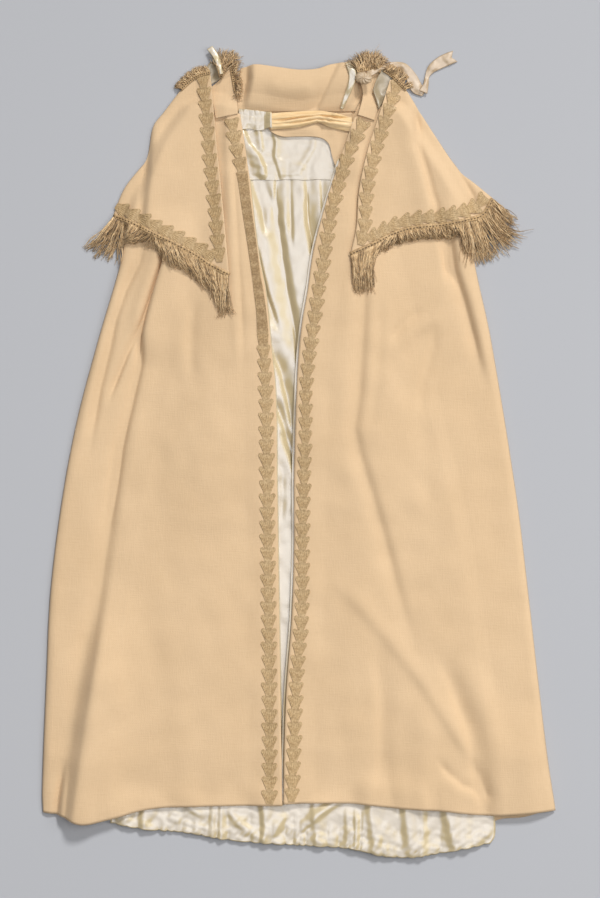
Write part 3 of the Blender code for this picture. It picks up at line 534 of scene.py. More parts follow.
def uneven(along, length, beside, sway_length, sway=1.0):
    """Waves of a length that sway a little, from -1 to 1."""
    return np.sin(along / length + sway * np.sin(beside / sway_length))


spots = panel(YOKE_LEFT, YOKE_RIGHT, even(141), graded((0.0, 0.003, 1.0), (1, 59)), YOKE_SEAM)
across = spots[..., 0]
puckers = YOKE_PUCKER * uneven(across, YOKE_PUCKER_LENGTH, across, YOKE_PUCKER_SWAY)
puckers = puckers * even(61)[::-1, None] ** 2
tucked = np.interp(np.arange(61), YOKE_TUCK_ROWS, YOKE_TUCK_RISES)[:, None]
rise = folds_at(spots, YOKE_FOLDS) + puckers + rumpled(spots, length=15, rise=0.22, seed=8) + tucked
lining_yoke = lay("lining_yoke_satin", spots, YOKE_WALL, YOKE_BEND, rise)
fit_silk(lining_yoke, satin_finish, "satin", "lining_yoke")

# Neck facing. A strip of wool inside the back of the neck, between the yoke and the neck seam.
# It is hemmed down on the lining and shows below the ruched band.
FACING_EDGE = [
    Point(-80, 542), Point(-56, 540), Point(-46, 527), Point(-30, 520), Point(0, 520), Point(34, 518),
    Point(48, 508), Point(54, 486), Point(62, 468)]
FACING_LEFT = [Point(-106, 542), Point(-100, 560)]
FACING_RIGHT = [Point(88, 462), Point(86, 560)]
FACING_TOP = [Point(0, 556)]
FACING_AIR = 0.4
FACING_BEND = 4
FACING_FOLDS = [
    Fold(2, 9, 1.0, [(-40, 525), (0, 534), (40, 526)]),
    Fold(1.5, 7, 1.0, [(50, 515), (58, 532), (62, 560)])]
spots = panel(FACING_LEFT, FACING_RIGHT, even(101), even(31), FACING_EDGE, FACING_TOP)
rise = folds_at(spots, FACING_FOLDS) + FACING_AIR
neck_facing = lay("neck_facing_wool", spots, WOOL_WALL, FACING_BEND, rise)
fit(neck_facing, wool_finish, "wool", "neck_facing")

# Ruched band at the neck. A bias strip of yellowed silk chiffon, gathered on threads into long crumples.
# It is caught at its ends and rolls over the neck seam.
CHIFFON_WALL = 0.9


def chiffon_cloth(name, body, bright):
    """Limp yellowed silk, fine and slightly sheer-looking, with crumples along its length."""
    material, tree, shader, place = finish_of(name, Roughness=0.5, Sheen_Weight=0.3)
    crumple = patterned(tree, place, scale=45.0, detail=4.0, rough=0.6, stretch=(1.0, 4.0, 1.0))
    colour = blended(tree, stretched(tree, crumple, low=0.3, high=0.7), body, bright)
    tree.links.new(colour, shader.inputs["Base Color"])
    tree.links.new(bumped(tree, crumple, strength=0.6, depth=0.002), shader.inputs["Normal"])
    return material


chiffon_finish = chiffon_cloth("yellowed_chiffon", (0.76, 0.515, 0.24), (0.90, 0.67, 0.385))
RUCHE_BOW = 4.0
RUCHE_TURN = 0.15
RUCHE_BEND = 4
RUCHE_LEFT = [Point(-47, 531), Point(-47, 558)]
RUCHE_RIGHT = [Point(87, 527), Point(86, 551)]
RUCHE_BOTTOM = [Point(0, 535), Point(30, 543), Point(50, 535)]
RUCHE_TOP = [Point(-6, 561), Point(35, 562)]
RUCHE_FOLDS = [
    Fold(4, 3.0, 0.8, [(-60, 540), (-30, 541), (0, 547), (30, 552), (60, 546), (95, 543)]),
    Fold(4, 2.6, 1.2, [(-60, 549), (-20, 551), (10, 554), (40, 556), (95, 552)]),
    Fold(-3, 2.0, 1.0, [(-60, 545), (-25, 546), (5, 551), (35, 554), (60, 550), (95, 548)]),
    Fold(3, 2.4, 1.0, [(-60, 535), (-20, 536), (10, 541), (28, 546), (50, 541), (95, 536)]),
    Fold(-2.5, 1.8, 1.0, [(-60, 538), (0, 543), (30, 548), (95, 540)]),
    Fold(3, 3.0, 1.0, [(30, 535), (44, 545), (60, 556), (70, 566)])]
spots = panel(RUCHE_LEFT, RUCHE_RIGHT, even(111), even(37), RUCHE_BOTTOM, RUCHE_TOP)
bow = RUCHE_BOW * np.sin(np.linspace(RUCHE_TURN, math.pi - RUCHE_TURN, 37))[:, None]
rise = folds_at(spots, RUCHE_FOLDS) + bow
neck_ruche = lay("neck_ruche_chiffon", spots, CHIFFON_WALL, RUCHE_BEND, rise)
fit(neck_ruche, chiffon_finish, "chiffon", "neck_ruche")

# Ruched satin at the left end of the neck. The same ivory satin as the lining, shirred on a few rows
# of thread between the chiffon and the front edge.
SHIRR_LEFT = [Point(-102, 530), Point(-100, 566)]
SHIRR_RIGHT = [Point(-45, 533), Point(-46, 560)]
SHIRR_BOTTOM = [Point(-84, 533), Point(-66, 530), Point(-50, 534)]
SHIRR_PUFF = 0.9
SHIRR_LENGTHS = (3.0, 3.6)
SHIRR_SWAYS = ((9.0, 0.7), (13.0, 0.6))
SHIRR_TILT = (-0.8, 0.5)
spots = panel(SHIRR_LEFT, SHIRR_RIGHT, even(101), graded((0.0, 0.008, 1.0), (1, 43)), SHIRR_BOTTOM)
across, along = np.moveaxis(spots, 2, 0)
crossed = uneven(across, SHIRR_LENGTHS[0], along, *SHIRR_SWAYS[0])
crossed = crossed * uneven(along, SHIRR_LENGTHS[1], across, *SHIRR_SWAYS[1])
tilt = np.linspace(*SHIRR_TILT, 45)[:, None]
rise = SHIRR_PUFF * np.sqrt(np.abs(crossed)) + rumpled(spots, length=16, rise=0.3, seed=9) + tilt
ruche_end = lay("neck_ruche_satin", spots, YOKE_WALL, RUCHE_BEND, rise)
fit_silk(ruche_end, satin_finish, "satin", "neck_ruche_end")

# Linings of the two fronts. Ivory satin that covers the inside of each front and is felled to its edge.
# A narrow line of it shows along both front edges where the edge has rolled.
FRONT_LEFT_EDGE = [
    Point(-28, -581), Point(-31, -408), Point(-34, -243), Point(-37, -45), Point(-39, 93), Point(-48, 190),
    Point(-56, 267), Point(-66, 318), Point(-75, 384), Point(-82, 450), Point(-98, 556)]
FRONT_RIGHT_EDGE = [
    Point(-26.5, -578), Point(-25, -487), Point(-23, -421), Point(-20.5, -373), Point(-18, -340),
    Point(-13.5, -285), Point(-11.5, -245), Point(-9, -150), Point(-9, -45), Point(-6, 60),
    Point(-3, 139), Point(4, 212), Point(13, 265), Point(22, 327), Point(36, 384), Point(56, 450),
    Point(67, 483), Point(90, 550)]
FRONT_LINING_WIDTH = 30.0
FRONT_LINING_BEND = 6
LEFT_LINING_SHOWS = 1.5
RIGHT_LINING_SHOWS = 4.0
RIPPLE = 0.7
RIPPLE_AIR = 0.8
LEFT_RIPPLE = 17.0
LEFT_RIPPLE_SWAY = 41.0
RIGHT_RIPPLE = 19.0
RIGHT_RIPPLE_SWAY = 37.0
EDGE_CROWDING = 1.3
LIP_SHARES = (0.0, 0.06, 0.12, 0.22)
LIP_RISES = (2.7, 2.6, 1.9, 0.0)
LIP_SPOTS = (-560, -500, -260, -190)
LIP_FADES = (0.0, 1.0, 1.0, 0.0)


def shifted(table, across):
    """The rows of an edge but its last, moved across."""
    return [Point(row.x + across, row.y) for row in table[:-1]]


spots = panel(shifted(FRONT_LEFT_EDGE, -FRONT_LINING_WIDTH), shifted(FRONT_LEFT_EDGE, LEFT_LINING_SHOWS),
              even(11), even(221))
along = spots[..., 1]
rise = RIPPLE * uneven(along, LEFT_RIPPLE, along, LEFT_RIPPLE_SWAY) + RIPPLE_AIR
lining_left = lay("lining_front_left_satin", spots, SATIN_WALL, FRONT_LINING_BEND, rise)
fit_silk(lining_left, satin_finish, "satin", "lining_front_left")
columns = even(21) ** EDGE_CROWDING
spots = panel(shifted(FRONT_RIGHT_EDGE, -RIGHT_LINING_SHOWS), shifted(FRONT_RIGHT_EDGE, FRONT_LINING_WIDTH),
              columns, even(241))
along = spots[..., 1]
lip = np.interp(columns, LIP_SHARES, LIP_RISES) * np.interp(along, LIP_SPOTS, LIP_FADES)
rise = RIPPLE * uneven(along, RIGHT_RIPPLE, along, RIGHT_RIPPLE_SWAY) + RIPPLE_AIR + lip
lining_right = lay("lining_front_right_satin", spots, SATIN_WALL, FRONT_LINING_BEND, rise)
fit_silk(lining_right, satin_finish, "satin", "lining_front_right")

# Fronts of the cloak. Two panels of cream wool, each cut in one from the shoulder to the hem.
# They roll over to the back at the sides, lie open in a V at the neck and hang in a few soft folds.
FRONT_LEFT_SIDE = [Point(-422, -593), *BACK_LEFT[1:]]
FRONT_LEFT_HEM = [
    Point(-392, -598), Point(-357, -610), Point(-313, -603), Point(-247, -587), Point(-164, -583)]
FRONT_RIGHT_SIDE = [Point(421, -590), *BACK_RIGHT[1:]]
FRONT_RIGHT_HEM = [Point(83, -578), Point(166, -586), Point(232, -590), Point(314, -598)]
FRONT_LEFT_NECK = [Point(-140, 572)]
FRONT_RIGHT_NECK = [Point(128, 570)]
FRONT_BEND = 10
FRONT_AIR = 5.0
FRONT_LIFT = 1.0
FRONT_EDGE_EASE = 0.25
FRONT_HEM_EASE = 0.08
ROLL_RADIUS = 13.0
CREASE_LEAN = 0.85
FRONT_LEFT_FOLDS = [
    Fold(10, 12, 0.42, [(-264, 140), (-250, 190), (-238, 240), (-226, 278), (-214, 315), (-204, 400)]),
    Fold(-9, 6, 1.0, [(-272, 140), (-258, 190), (-246, 232), (-236, 270), (-225, 306), (-214, 400)]),
    Fold(6, 10, 1.4, [(-276, 185), (-262, 235), (-250, 272), (-238, 310), (-226, 400)]),
    Fold(-6, 6, 1.4, [(-318, 75), (-296, 130), (-280, 169), (-260, 209), (-243, 242), (-235, 265)]),
    Fold(-5, 9, 1.5, [
        (-350, -20), (-339, 44), (-329, 103), (-313, 169), (-303, 219), (-286, 268), (-263, 314),
        (-250, 380)]),
    Fold(3, 10, 1.0, [(-365, -20), (-352, 60), (-338, 130), (-318, 215), (-298, 280), (-280, 340)]),
    Fold(-7, 9, 1.6, [
        (-316, -150), (-294, 4), (-275, 83), (-258, 162), (-247, 229), (-237, 268), (-214, 360)]),
    Fold(-5, 14, 1.5, [(-382, -640), (-370, -540), (-342, -342), (-321, -177), (-294, 4), (-275, 83)]),
    Fold(2.5, 18, 0.8, [(-352, -500), (-322, -342), (-300, -177), (-272, 4), (-240, 156)]),
    Fold(24, 32, 0.56, [
        (-384, -940), (-370, -620), (-365, -580), (-359, -530), (-356, -504), (-349, -448), (-339, -395),
        (-326, -320), (-308, -200)]),
    Fold(4, 50, 1.0, [(-386, -940), (-372, -612), (-362, -510), (-350, -400), (-336, -280)]),
    Fold(4, 5, 1.0, [(-398, -760), (-391, -612), (-388, -570), (-384, -535), (-380, -505)]),
    Fold(-5, 6, 1.0, [(-410, -740), (-402, -600), (-397, -565), (-391, -532), (-385, -500)]),
    Fold(2, 45, 1.0, [(-165, -420), (-158, -200), (-150, 60)]),
    Fold(3.5, 14, 0.7, [(-96, 90), (-104, 200), (-108, 290), (-112, 400), (-118, 620)]),
    Fold(-2.5, 5, 1.0, [(-92, 120), (-94, 210), (-99, 300), (-106, 420), (-110, 520)]),
    Fold(2.5, 16, 1.0, [(-190, 100), (-196, 200), (-200, 270), (-196, 400)]),
    Fold(-2.0, 10, 1.0, [(-176, 110), (-178, 180), (-172, 260)]),
    Fold(1.6, 30, 1.0, [(-250, -160), (-210, -300), (-190, -440), (-186, -700)])]
FRONT_RIGHT_FOLDS = [
    Fold(-4.5, 9, 1.5, [(302, 120), (298, 140), (289, 182), (272, 246), (255, 302), (250, 342), (246, 420)]),
    Fold(5, 11, 0.8, [(320, 90), (302, 182), (286, 246), (268, 302), (262, 342), (258, 420)]),
    Fold(-4, 6, 1.0, [(244, 270), (241, 310), (240, 342), (238, 420)]),
    Fold(-2, 5, 1.0, [(268, 256), (263, 272), (241, 305), (231, 342), (226, 420)]),
    Fold(-5.5, 12, 1.4, [
        (200, -360), (166, -243), (142, -150), (120, -72), (98, 0), (90, 40), (98, 100), (103, 180),
        (106, 252), (104, 480)]),
    Fold(-2.5, 10, 1.0, [(112, 20), (128, 120), (132, 200), (130, 280)]),
    Fold(2.6, 12, 1.3, [(150, 150), (184, 197), (220, 218), (240, 256), (248, 290)]),
    Fold(-2.2, 8, 1.0, [(146, 180), (172, 212), (206, 240)]),
    Fold(3, 13, 0.8, [
        (345, -585), (330, -557), (268, -476), (206, -381), (158, -319), (100, -250), (30, -190)]),
    Fold(-5, 14, 0.8, [(138, -720), (137, -557), (136, -408), (126, -300)]),
    Fold(3.5, 22, 1.0, [(208, -720), (206, -585), (210, -470), (196, -380)]),
    Fold(-6, 15, 0.8, [(312, -640), (294, -530), (278, -455), (252, -380), (224, -320)]),
    Fold(-3, 6, 0.7, [(326, -574), (291, -557), (268, -549), (243, -528), (222, -500)]),
    Fold(1.4, 12, 1.0, [(318, -588), (288, -570), (258, -556), (230, -524)]),
    Fold(5, 22, 1.0, [(338, -720), (334, -590), (322, -480), (296, -390), (266, -320)]),
    Fold(11, 40, 1.0, [(386, -860), (378, -600), (372, -520), (364, -400)]),
    Fold(2.5, 40, 1.0, [(250, -300), (262, -120), (240, 60), (230, 140)]),
    Fold(2.0, 30, 1.0, [(90, -420), (110, -250), (120, -100), (110, 30)]),
    Fold(-2.5, 9, 1.0, [(196, 60), (204, 120), (220, 170), (226, 220)])]


def rolled(spots, rise, side):
    """Take a panel's rise down to nothing in a quarter round where its side rolls under."""
    edge = spots[:, :1] if side == "left" else spots[:, -1:]
    inward = np.minimum(np.linalg.norm(spots - edge, axis=2) / ROLL_RADIUS, 1.0)
    return rise * np.sqrt(np.maximum(1 - (1 - inward) ** 2, 0.0))


def wandering(spots, reach, rise):
    """Slight unevenness of cloth that has been used and put away folded."""
    x = spots[..., 0] / reach
    y = spots[..., 1] / reach
    return rise * (np.sin(x + 1.3 * np.sin(0.7 * y)) * np.cos(0.8 * y + 0.9 * np.sin(0.6 * x)))


def front_rise(spots, from_edge, from_hem, folds, wander, seed):
    """Rise of a front: the air under it away from its edge and hem, its folds and its unevenness."""
    off_edge = np.minimum(1.0, from_edge / FRONT_EDGE_EASE)[None, :]
    off_hem = np.minimum(1.0, from_hem / FRONT_HEM_EASE)[:, None]
    dents = wandering(spots, reach=wander, rise=0.5) + rumpled(spots, length=55, rise=0.25, seed=seed)
    return FRONT_AIR * off_edge * off_hem + folds_at(spots, folds) + dents + FRONT_LIFT


across = graded((0.0, 0.036, 0.5, 1.0), (7, 77, 45))
up = even(261)
spots = panel(FRONT_LEFT_SIDE, FRONT_LEFT_EDGE, across, up, FRONT_LEFT_HEM, FRONT_LEFT_NECK)
rise = front_rise(spots, 1 - across, up, FRONT_LEFT_FOLDS, wander=38, seed=31)
spots[..., 0] -= CREASE_LEAN * folds_at(spots, FRONT_LEFT_FOLDS[:1])
front_left = lay("front_left_wool", spots, WOOL_WALL, FRONT_BEND, rolled(spots, rise, "left"))
fit(front_left, wool_finish, "wool", "front_left")
across = 1 - across[::-1]
spots = panel(FRONT_RIGHT_EDGE, FRONT_RIGHT_SIDE, across, up, FRONT_RIGHT_HEM, FRONT_RIGHT_NECK)
rise = front_rise(spots, across, up, FRONT_RIGHT_FOLDS, wander=41, seed=32)
front_right = lay("front_right_wool", spots, WOOL_WALL, FRONT_BEND, rolled(spots, rise, "right"))
fit(front_right, wool_finish, "wool", "front_right")

# Front ends of the collar. Two tapered tabs of wool that carry on the line of the fronts up to the ties.
# Each is seamed to its front at the base of the neck and bows up a little between its edges.
TAB_WALL = 0.5
TAB_BEND = 10
TAB_SINK = 0.5
TAB_LEFT_OUTER = [Point(-138, 549), Point(-147, 602)]
TAB_LEFT_INNER = [Point(-101, 556), Point(-105, 592), Point(-115, 637)]
TAB_RIGHT_INNER = [Point(96, 554), Point(104, 592), Point(93, 626)]
TAB_RIGHT_OUTER = [Point(123, 546), Point(131, 576), Point(125, 600), Point(134, 628)]


def lay_tab(name, solid, left, right, columns, rows, top, bow):
    """Lay an end of the collar, bowed between its edges and flat at its foot."""
    spots = panel(left, right, even(columns), even(rows), top=[top])
    bowed = bow * np.sin(math.pi * even(columns))[None, :] * np.sqrt(even(rows))[:, None]
    rise = bowed + wandering(spots, reach=12, rise=0.3) - TAB_SINK
    return fit(lay(name, spots, TAB_WALL, TAB_BEND, rise), wool_finish, "wool", solid)


collar_left = lay_tab("collar_front_left_wool", "collar_front_left", TAB_LEFT_OUTER, TAB_LEFT_INNER,
                      columns=31, rows=47, top=Point(-131, 616), bow=2.6)
collar_right = lay_tab("collar_front_right_wool", "collar_front_right", TAB_RIGHT_INNER, TAB_RIGHT_OUTER,
                       columns=27, rows=51, top=Point(112, 631), bow=2.4)

# Braid down the two front edges. A woven trimming of leaf buds, each a fan of silky cords that springs
# from a narrow stem and flares to two blunt lobes; it is stitched flat along the edge.
Stop = namedtuple("Stop", "x y width")
Cord = namedtuple("Cord", "head upper lower stem")
Station = namedtuple("Station", "along across")
BRAID_WIDTH = 27.0
BAND_WIDTH = 18.0
BAND_EASE = 5.0
BRAID_PITCH = 22.0
CORD_HALF = 1.25
CORD_RISE = 0.75
CORD_TAPER = (0.8, 1.0, 0.75, 0.5)
CORD_CREST = (-0.2, 1.0, 0.9, -0.2)
# Painted shade at the feet of the cords and a painted highlight on their crests.
CORD_FOOT_SHADE = -0.25
CORD_CREST_HIGHLIGHT = 0.78
BACKING_RISE = 0.5
# The backing between the cords is darker: painted shade.
BACKING_SHADE = 0.25
HEAD_REACH = 0.06
SIDE_STEP = 0.004
PLUMPNESS = 0.05
PLUMP_STEP = 2.3
# Share of the tint kept where the braid is squeezed to a band along the rolled edge: painted shade.
ROLLED_BAND_SHADE = 0.4
SPECKLE = 0.2
BUD_CORDS = [
    Cord(Station(0.05, 0.88), Station(0.24, 0.82), Station(0.58, 0.57), Station(1.04, 0.33)),
    Cord(Station(0.0, 0.66), Station(0.3, 0.57), Station(0.62, 0.40), Station(1.04, 0.24)),
    Cord(Station(0.08, 0.39), Station(0.36, 0.34), Station(0.66, 0.24), Station(1.04, 0.16)),
    Cord(Station(0.05, 0.13), Station(0.38, 0.12), Station(0.68, 0.08), Station(1.04, 0.05))]
BUD_RIM = [
    Station(0.0, 0.92), Station(0.15, 0.98), Station(0.44, 0.76), Station(0.74, 0.52), Station(1.02, 0.40)]
BUD_SHOULDER = [
    Station(-HEAD_REACH, 0.70), Station(0.2, 0.64), Station(0.46, 0.48), Station(0.75, 0.34),
    Station(1.02, 0.27)]
BUD_NECK = [
    Station(0.03, 0.42), Station(0.24, 0.30), Station(0.48, 0.23), Station(0.76, 0.18), Station(1.02, 0.15)]
BUD_LINES = (BUD_RIM, BUD_SHOULDER, BUD_NECK)
BUD_COLUMNS = [(line, 1) for line in BUD_LINES] + [(line, -1) for line in BUD_LINES[::-1]]
CORD_BAND = (0.0, 0.34, 0.66, 1.04)


def closed(tops, below):
    """Faces of a slab: its top, the same turned over below it, and walls round every open edge."""
    edges = {(a, b) for face in tops for a, b in zip(face, face[1:] + face[:1])}
    unders = [tuple(v + below for v in reversed(face)) for face in tops]
    return tops + unders + [(b, a, a + below, b + below) for a, b in sorted(edges) if (b, a) not in edges]


def tube_faces(first, stations):
    """Faces of a closed tube of three sides, from its first point."""
    end = first + 3 * (stations - 1)
    faces = []
    for a in range(first, end, 3):
        faces += [(a, a + 1, a + 4, a + 3), (a + 1, a + 2, a + 5, a + 4), (a + 2, a, a + 3, a + 5)]
    return faces + [(first, first + 2, first + 1), (end, end + 1, end + 2)]


def bud_mesh():
    """One bud: its cords as closed ridges on a thin backing. Each point has its shares along and across,
    the shares it has where the braid is squeezed to a plain band, an offset, a rise and a tint; the tint
    paints shade at the cords' feet and on the backing, and a highlight on their crests."""
    verts = []
    faces = []
    for hand in (1, -1):
        for cord in BUD_CORDS:
            faces += tube_faces(len(verts), len(cord))
            for k, station in enumerate(cord):
                half = CORD_HALF * CORD_TAPER[k]
                crest = CORD_RISE * CORD_CREST[k] + BACKING_RISE
                shares = (station.along, hand * station.across, CORD_BAND[k], hand * cord.upper.across)
                verts += [
                    (*shares, -half, 0.0, CORD_FOOT_SHADE), (*shares, 0.0, crest, CORD_CREST_HIGHLIGHT),
                    (*shares, half, 0.0, CORD_FOOT_SHADE)]
    first = len(verts)
    width = len(BUD_COLUMNS)
    for level in (BACKING_RISE, 0.0):
        for k in range(len(BUD_RIM)):
            for line, hand in BUD_COLUMNS:
                shares = (line[k].along, hand * line[k].across, BUD_NECK[k].along, hand * line[1].across)
                verts.append((*shares, 0.0, level, BACKING_SHADE))
    tops = []
    for a in range(first, first + width * (len(BUD_RIM) - 1)):
        if (a - first) % width < width - 1:
            tops.append((a, a + 1, a + 1 + width, a + width))
    return np.array(verts), faces + closed(tops, width * len(BUD_RIM))


def many(name, verts, faces, tints, smooth=True):
    """A piece of many small like parts, from their places in millimetres."""
    mesh = bpy.data.meshes.new(name)
    mesh.from_pydata((verts * MM).tolist(), [], faces)
    mesh.attributes.new("tint", "FLOAT", "POINT").data.foreach_set("value", tints)
    piece = bpy.data.objects.new(name, mesh)
    bpy.context.scene.collection.objects.link(piece)
    bpy.context.view_layer.objects.active = piece
    piece.select_set(True)
    bpy.ops.object.mode_set(mode="EDIT")
    bpy.ops.mesh.select_all(action="SELECT")
    bpy.ops.mesh.normals_make_consistent(inside=False)
    bpy.ops.object.mode_set(mode="OBJECT")
    if smooth:
        bpy.ops.object.shade_smooth()
    piece.select_set(False)
    return piece


def sides_at(table, shares):
    """Unit vectors to the left of a line's run."""
    shares = np.clip(shares, 0.0, 1.0)
    run = line_at(table, shares + SIDE_STEP)[:, :2] - line_at(table, shares - SIDE_STEP)[:, :2]
    return np.stack((-run[:, 1], run[:, 0]), axis=1) / np.linalg.norm(run, axis=1)[:, None]


def lay_braid(name, stops, pitch):
    """Stitch a run of buds along a line, each following the cloth under it."""
    bud, bud_faces = bud_mesh()
    count = round(length_of(stops) / pitch)
    field = softened(2)
    verts = []
    faces = []
    tints = []
    for k in range(count):
        broad = line_at(stops, np.array([(k + 0.5) / count]))[0, 2]
        flare = np.clip((broad - BAND_WIDTH) / BAND_EASE, 0.0, 1.0)
        along, across = (bud[:, 2:4] + (bud[:, :2] - bud[:, 2:4]) * flare).T
        shares = (k + HEAD_REACH + along) / (count + HEAD_REACH)
        middle = line_at(stops, shares)
        plump = 1.0 + PLUMPNESS * math.sin(PLUMP_STEP * k) * flare
        off = across * middle[:, 2] / 2 * plump + bud[:, 4] * middle[:, 2] / BRAID_WIDTH
        flat = middle[:, :2] + sides_at(stops, shares) * off[:, None]
        level = height_at(field, flat) + SEAM + bud[:, 5]
        faces += [tuple(len(verts) * len(bud) + v for v in face) for face in bud_faces]
        verts.append(np.column_stack((flat, level)))
        # Lower tints where the braid is squeezed to a band on the rolled edge: painted shade.
        tints.append(bud[:, 6] * (ROLLED_BAND_SHADE + (1 - ROLLED_BAND_SHADE) * flare))
    return many(name, np.concatenate(verts), faces, np.concatenate(tints), smooth=False)


def silky_thread(name, dark, mid, bright, streaks):
    """Tarnished olive-tan silk, coloured from dark to bright by each point's tint: painted shade deep between
    its threads, a painted highlight along each of them, and random tone.
    """
    material, tree, shader, place = finish_of(
        name, Roughness=0.5, Specular_IOR_Level=0.45, Sheen_Weight=0.15)
    speckle = patterned(tree, place, scale=streaks, detail=2.0)
    speckle = stretched(tree, speckle, low=0.3, high=0.7, bottom=-SPECKLE, top=SPECKLE)
    share = summed(tree, marked(tree, "tint"), speckle)
    body = blended(tree, stretched(tree, share, low=0.0, high=0.5), dark, mid)
    colour = blended(tree, stretched(tree, share, low=0.5, high=1.0), body, bright)
    tree.links.new(colour, shader.inputs["Base Color"])
    tree.links.new(bumped(tree, speckle, strength=0.3, depth=0.0005), shader.inputs["Normal"])
    return material


braid_finish = silky_thread(
    "olive_braid", dark=(0.31, 0.19, 0.08), mid=(0.60, 0.425, 0.22), bright=(0.80, 0.60, 0.345),
    streaks=330.0)
BRAID_LEFT = [
    Stop(-112, 550, 25), Stop(-107, 520, 27), Stop(-102, 494, 26), Stop(-97, 473, 21),
    Stop(-93, 450, 18), Stop(-86, 397, 16), Stop(-78, 344, 15), Stop(-71, 291, 14),
    Stop(-67, 265, 16), Stop(-62, 225, 17), Stop(-60, 190, 20), Stop(-58, 156, 24), Stop(-55, 93, 26),
    Stop(-54, 12, 27), Stop(-52, -161, 27), Stop(-50, -326, 27), Stop(-49, -578, 27)]
BRAID_RIGHT = [
    Stop(107, 547, 25), Stop(98, 527, 26), Stop(83, 496, 26), Stop(70, 459, 26), Stop(60, 423, 26),
    Stop(53, 397, 26), Stop(44, 344, 26), Stop(38, 304, 26), Stop(31, 265, 26), Stop(25, 222, 26),
    Stop(15, 151, 25), Stop(11, 105, 24), Stop(10, 37, 24), Stop(7, -62, 25), Stop(5, -130, 26),
    Stop(4.5, -243, 26), Stop(2, -295, 26), Stop(-2.5, -342, 26), Stop(-5, -375, 26), Stop(-7, -425, 26),
    Stop(-9, -487, 26), Stop(-11, -530, 26), Stop(-13, -574, 26)]
braid_left = lay_braid("front_left_braid", BRAID_LEFT, BRAID_PITCH)
fit(braid_left, braid_finish, "braid", "braid_front_left")
braid_right = lay_braid("front_right_braid", BRAID_RIGHT, BRAID_PITCH)
fit(braid_right, braid_finish, "braid", "braid_front_right")

# Satin inside the cape's upper corners. Each cape front is lined, and its corner gapes beside the collar,
# so a small pocket of ivory satin shows there.
POCKET_BEND = 3
POCKET_LEFT_CUP = 3.5
POCKET_LEFT_AIR = 0.9
POCKET_RIGHT_CUP = 3.0
POCKET_RIGHT_AIR = 1.0
POCKET_LEFT_OUTER = [Point(-149, 604), Point(-154, 622), Point(-153, 636), Point(-147, 645)]
POCKET_LEFT_INNER = [Point(-130, 616), Point(-133, 630), Point(-140, 643)]
POCKET_RIGHT_INNER = [Point(121, 597), Point(127, 615), Point(136, 632)]
POCKET_RIGHT_OUTER = [Point(130, 564), Point(150, 602), Point(157, 628)]
# The pocket satin gets darker colours than the lining: painted shade inside the gaping corner.
pocket_shade_satin = satin_cloth("pocket_shade_satin", (0.36, 0.285, 0.175), (0.53, 0.45, 0.335), gloss=1.5, roughness=0.35)
spots = panel(POCKET_LEFT_OUTER, POCKET_LEFT_INNER, even(17), even(23))
cupped = POCKET_LEFT_CUP * np.linspace(-0.6, 1, 17)[None, :] ** 2 + POCKET_LEFT_AIR
rise = cupped + rumpled(spots, length=14, rise=0.3, seed=41)
pocket_left = lay("cape_lining_left_satin", spots, SATIN_WALL, POCKET_BEND, rise)
fit_silk(pocket_left, pocket_shade_satin, "satin", "capelet_lining_left")
spots = panel(POCKET_RIGHT_INNER, POCKET_RIGHT_OUTER, even(17), even(27))
cupped = POCKET_RIGHT_CUP * np.linspace(-1, 0.6, 17)[None, :] ** 2 + POCKET_RIGHT_AIR
rise = cupped + rumpled(spots, length=16, rise=0.5, seed=42)
pocket_right = lay("cape_lining_right_satin", spots, SATIN_WALL, POCKET_BEND, rise)
fit_silk(pocket_right, pocket_shade_satin, "satin", "capelet_lining_right")

# Fringe round the collar. Crimped silk threads of mixed olive and brown, looped in a narrow tape.
# The tape is sewn round the top of each collar end, and its threads stand out over the edge.
Lock = namedtuple("Lock", "share across up curl loose", defaults=[1.0])
THREAD_STATIONS = 12
THREAD_RADIUS = 0.9
HANK_THREADS = 16
THREAD_START = 2.0
THREAD_ROOT = 3.0
THREAD_SINK = 0.8
THREAD_FALL = 5.0
THREAD_WAVE = 0.5
THREAD_WAVES = 9
LOFT_START = 0.05
LOFT_RUN = 0.92
THREAD_TAPER = 0.55
THREAD_SIDES = (90, 210, 330)
THREAD_GIRTHS = (0.75, 1.2)
THREAD_LENGTHS = (0.84, 1.03)
HANK_LENGTHS = (0.84, 1.02)
THREAD_TURN = 0.08
HANK_TURN = 0.06
THREAD_BEND = 0.06
HANK_BEND = 0.1
CRIMP_WIDTHS = (1.0, 3.4)
CRIMP_WAVES = (6, 15)
THREAD_TINT = 0.62
THREAD_TINT_SPREAD = 0.26
TIP_TINT = 0.15
DARKEST_TINT = 0.05
HEADING_WALL = 0.8
HEADING_RISE = 0.7
HEADING_RISES = (0.9, 1.5, 1.5, 1.1)
HEADING_TINTS = (0.3, 0.5)
# A dark strip under the eyelets: painted shade inside them.
SHADE_STRIP_OVERLAP = 0.8
SHADE_STRIP_RISES = (0.9, 0.3)
COLLAR_HEADING = (-2.8, -1.0, 1.0, 2.4)
COLLAR_EYELETS = 3.6


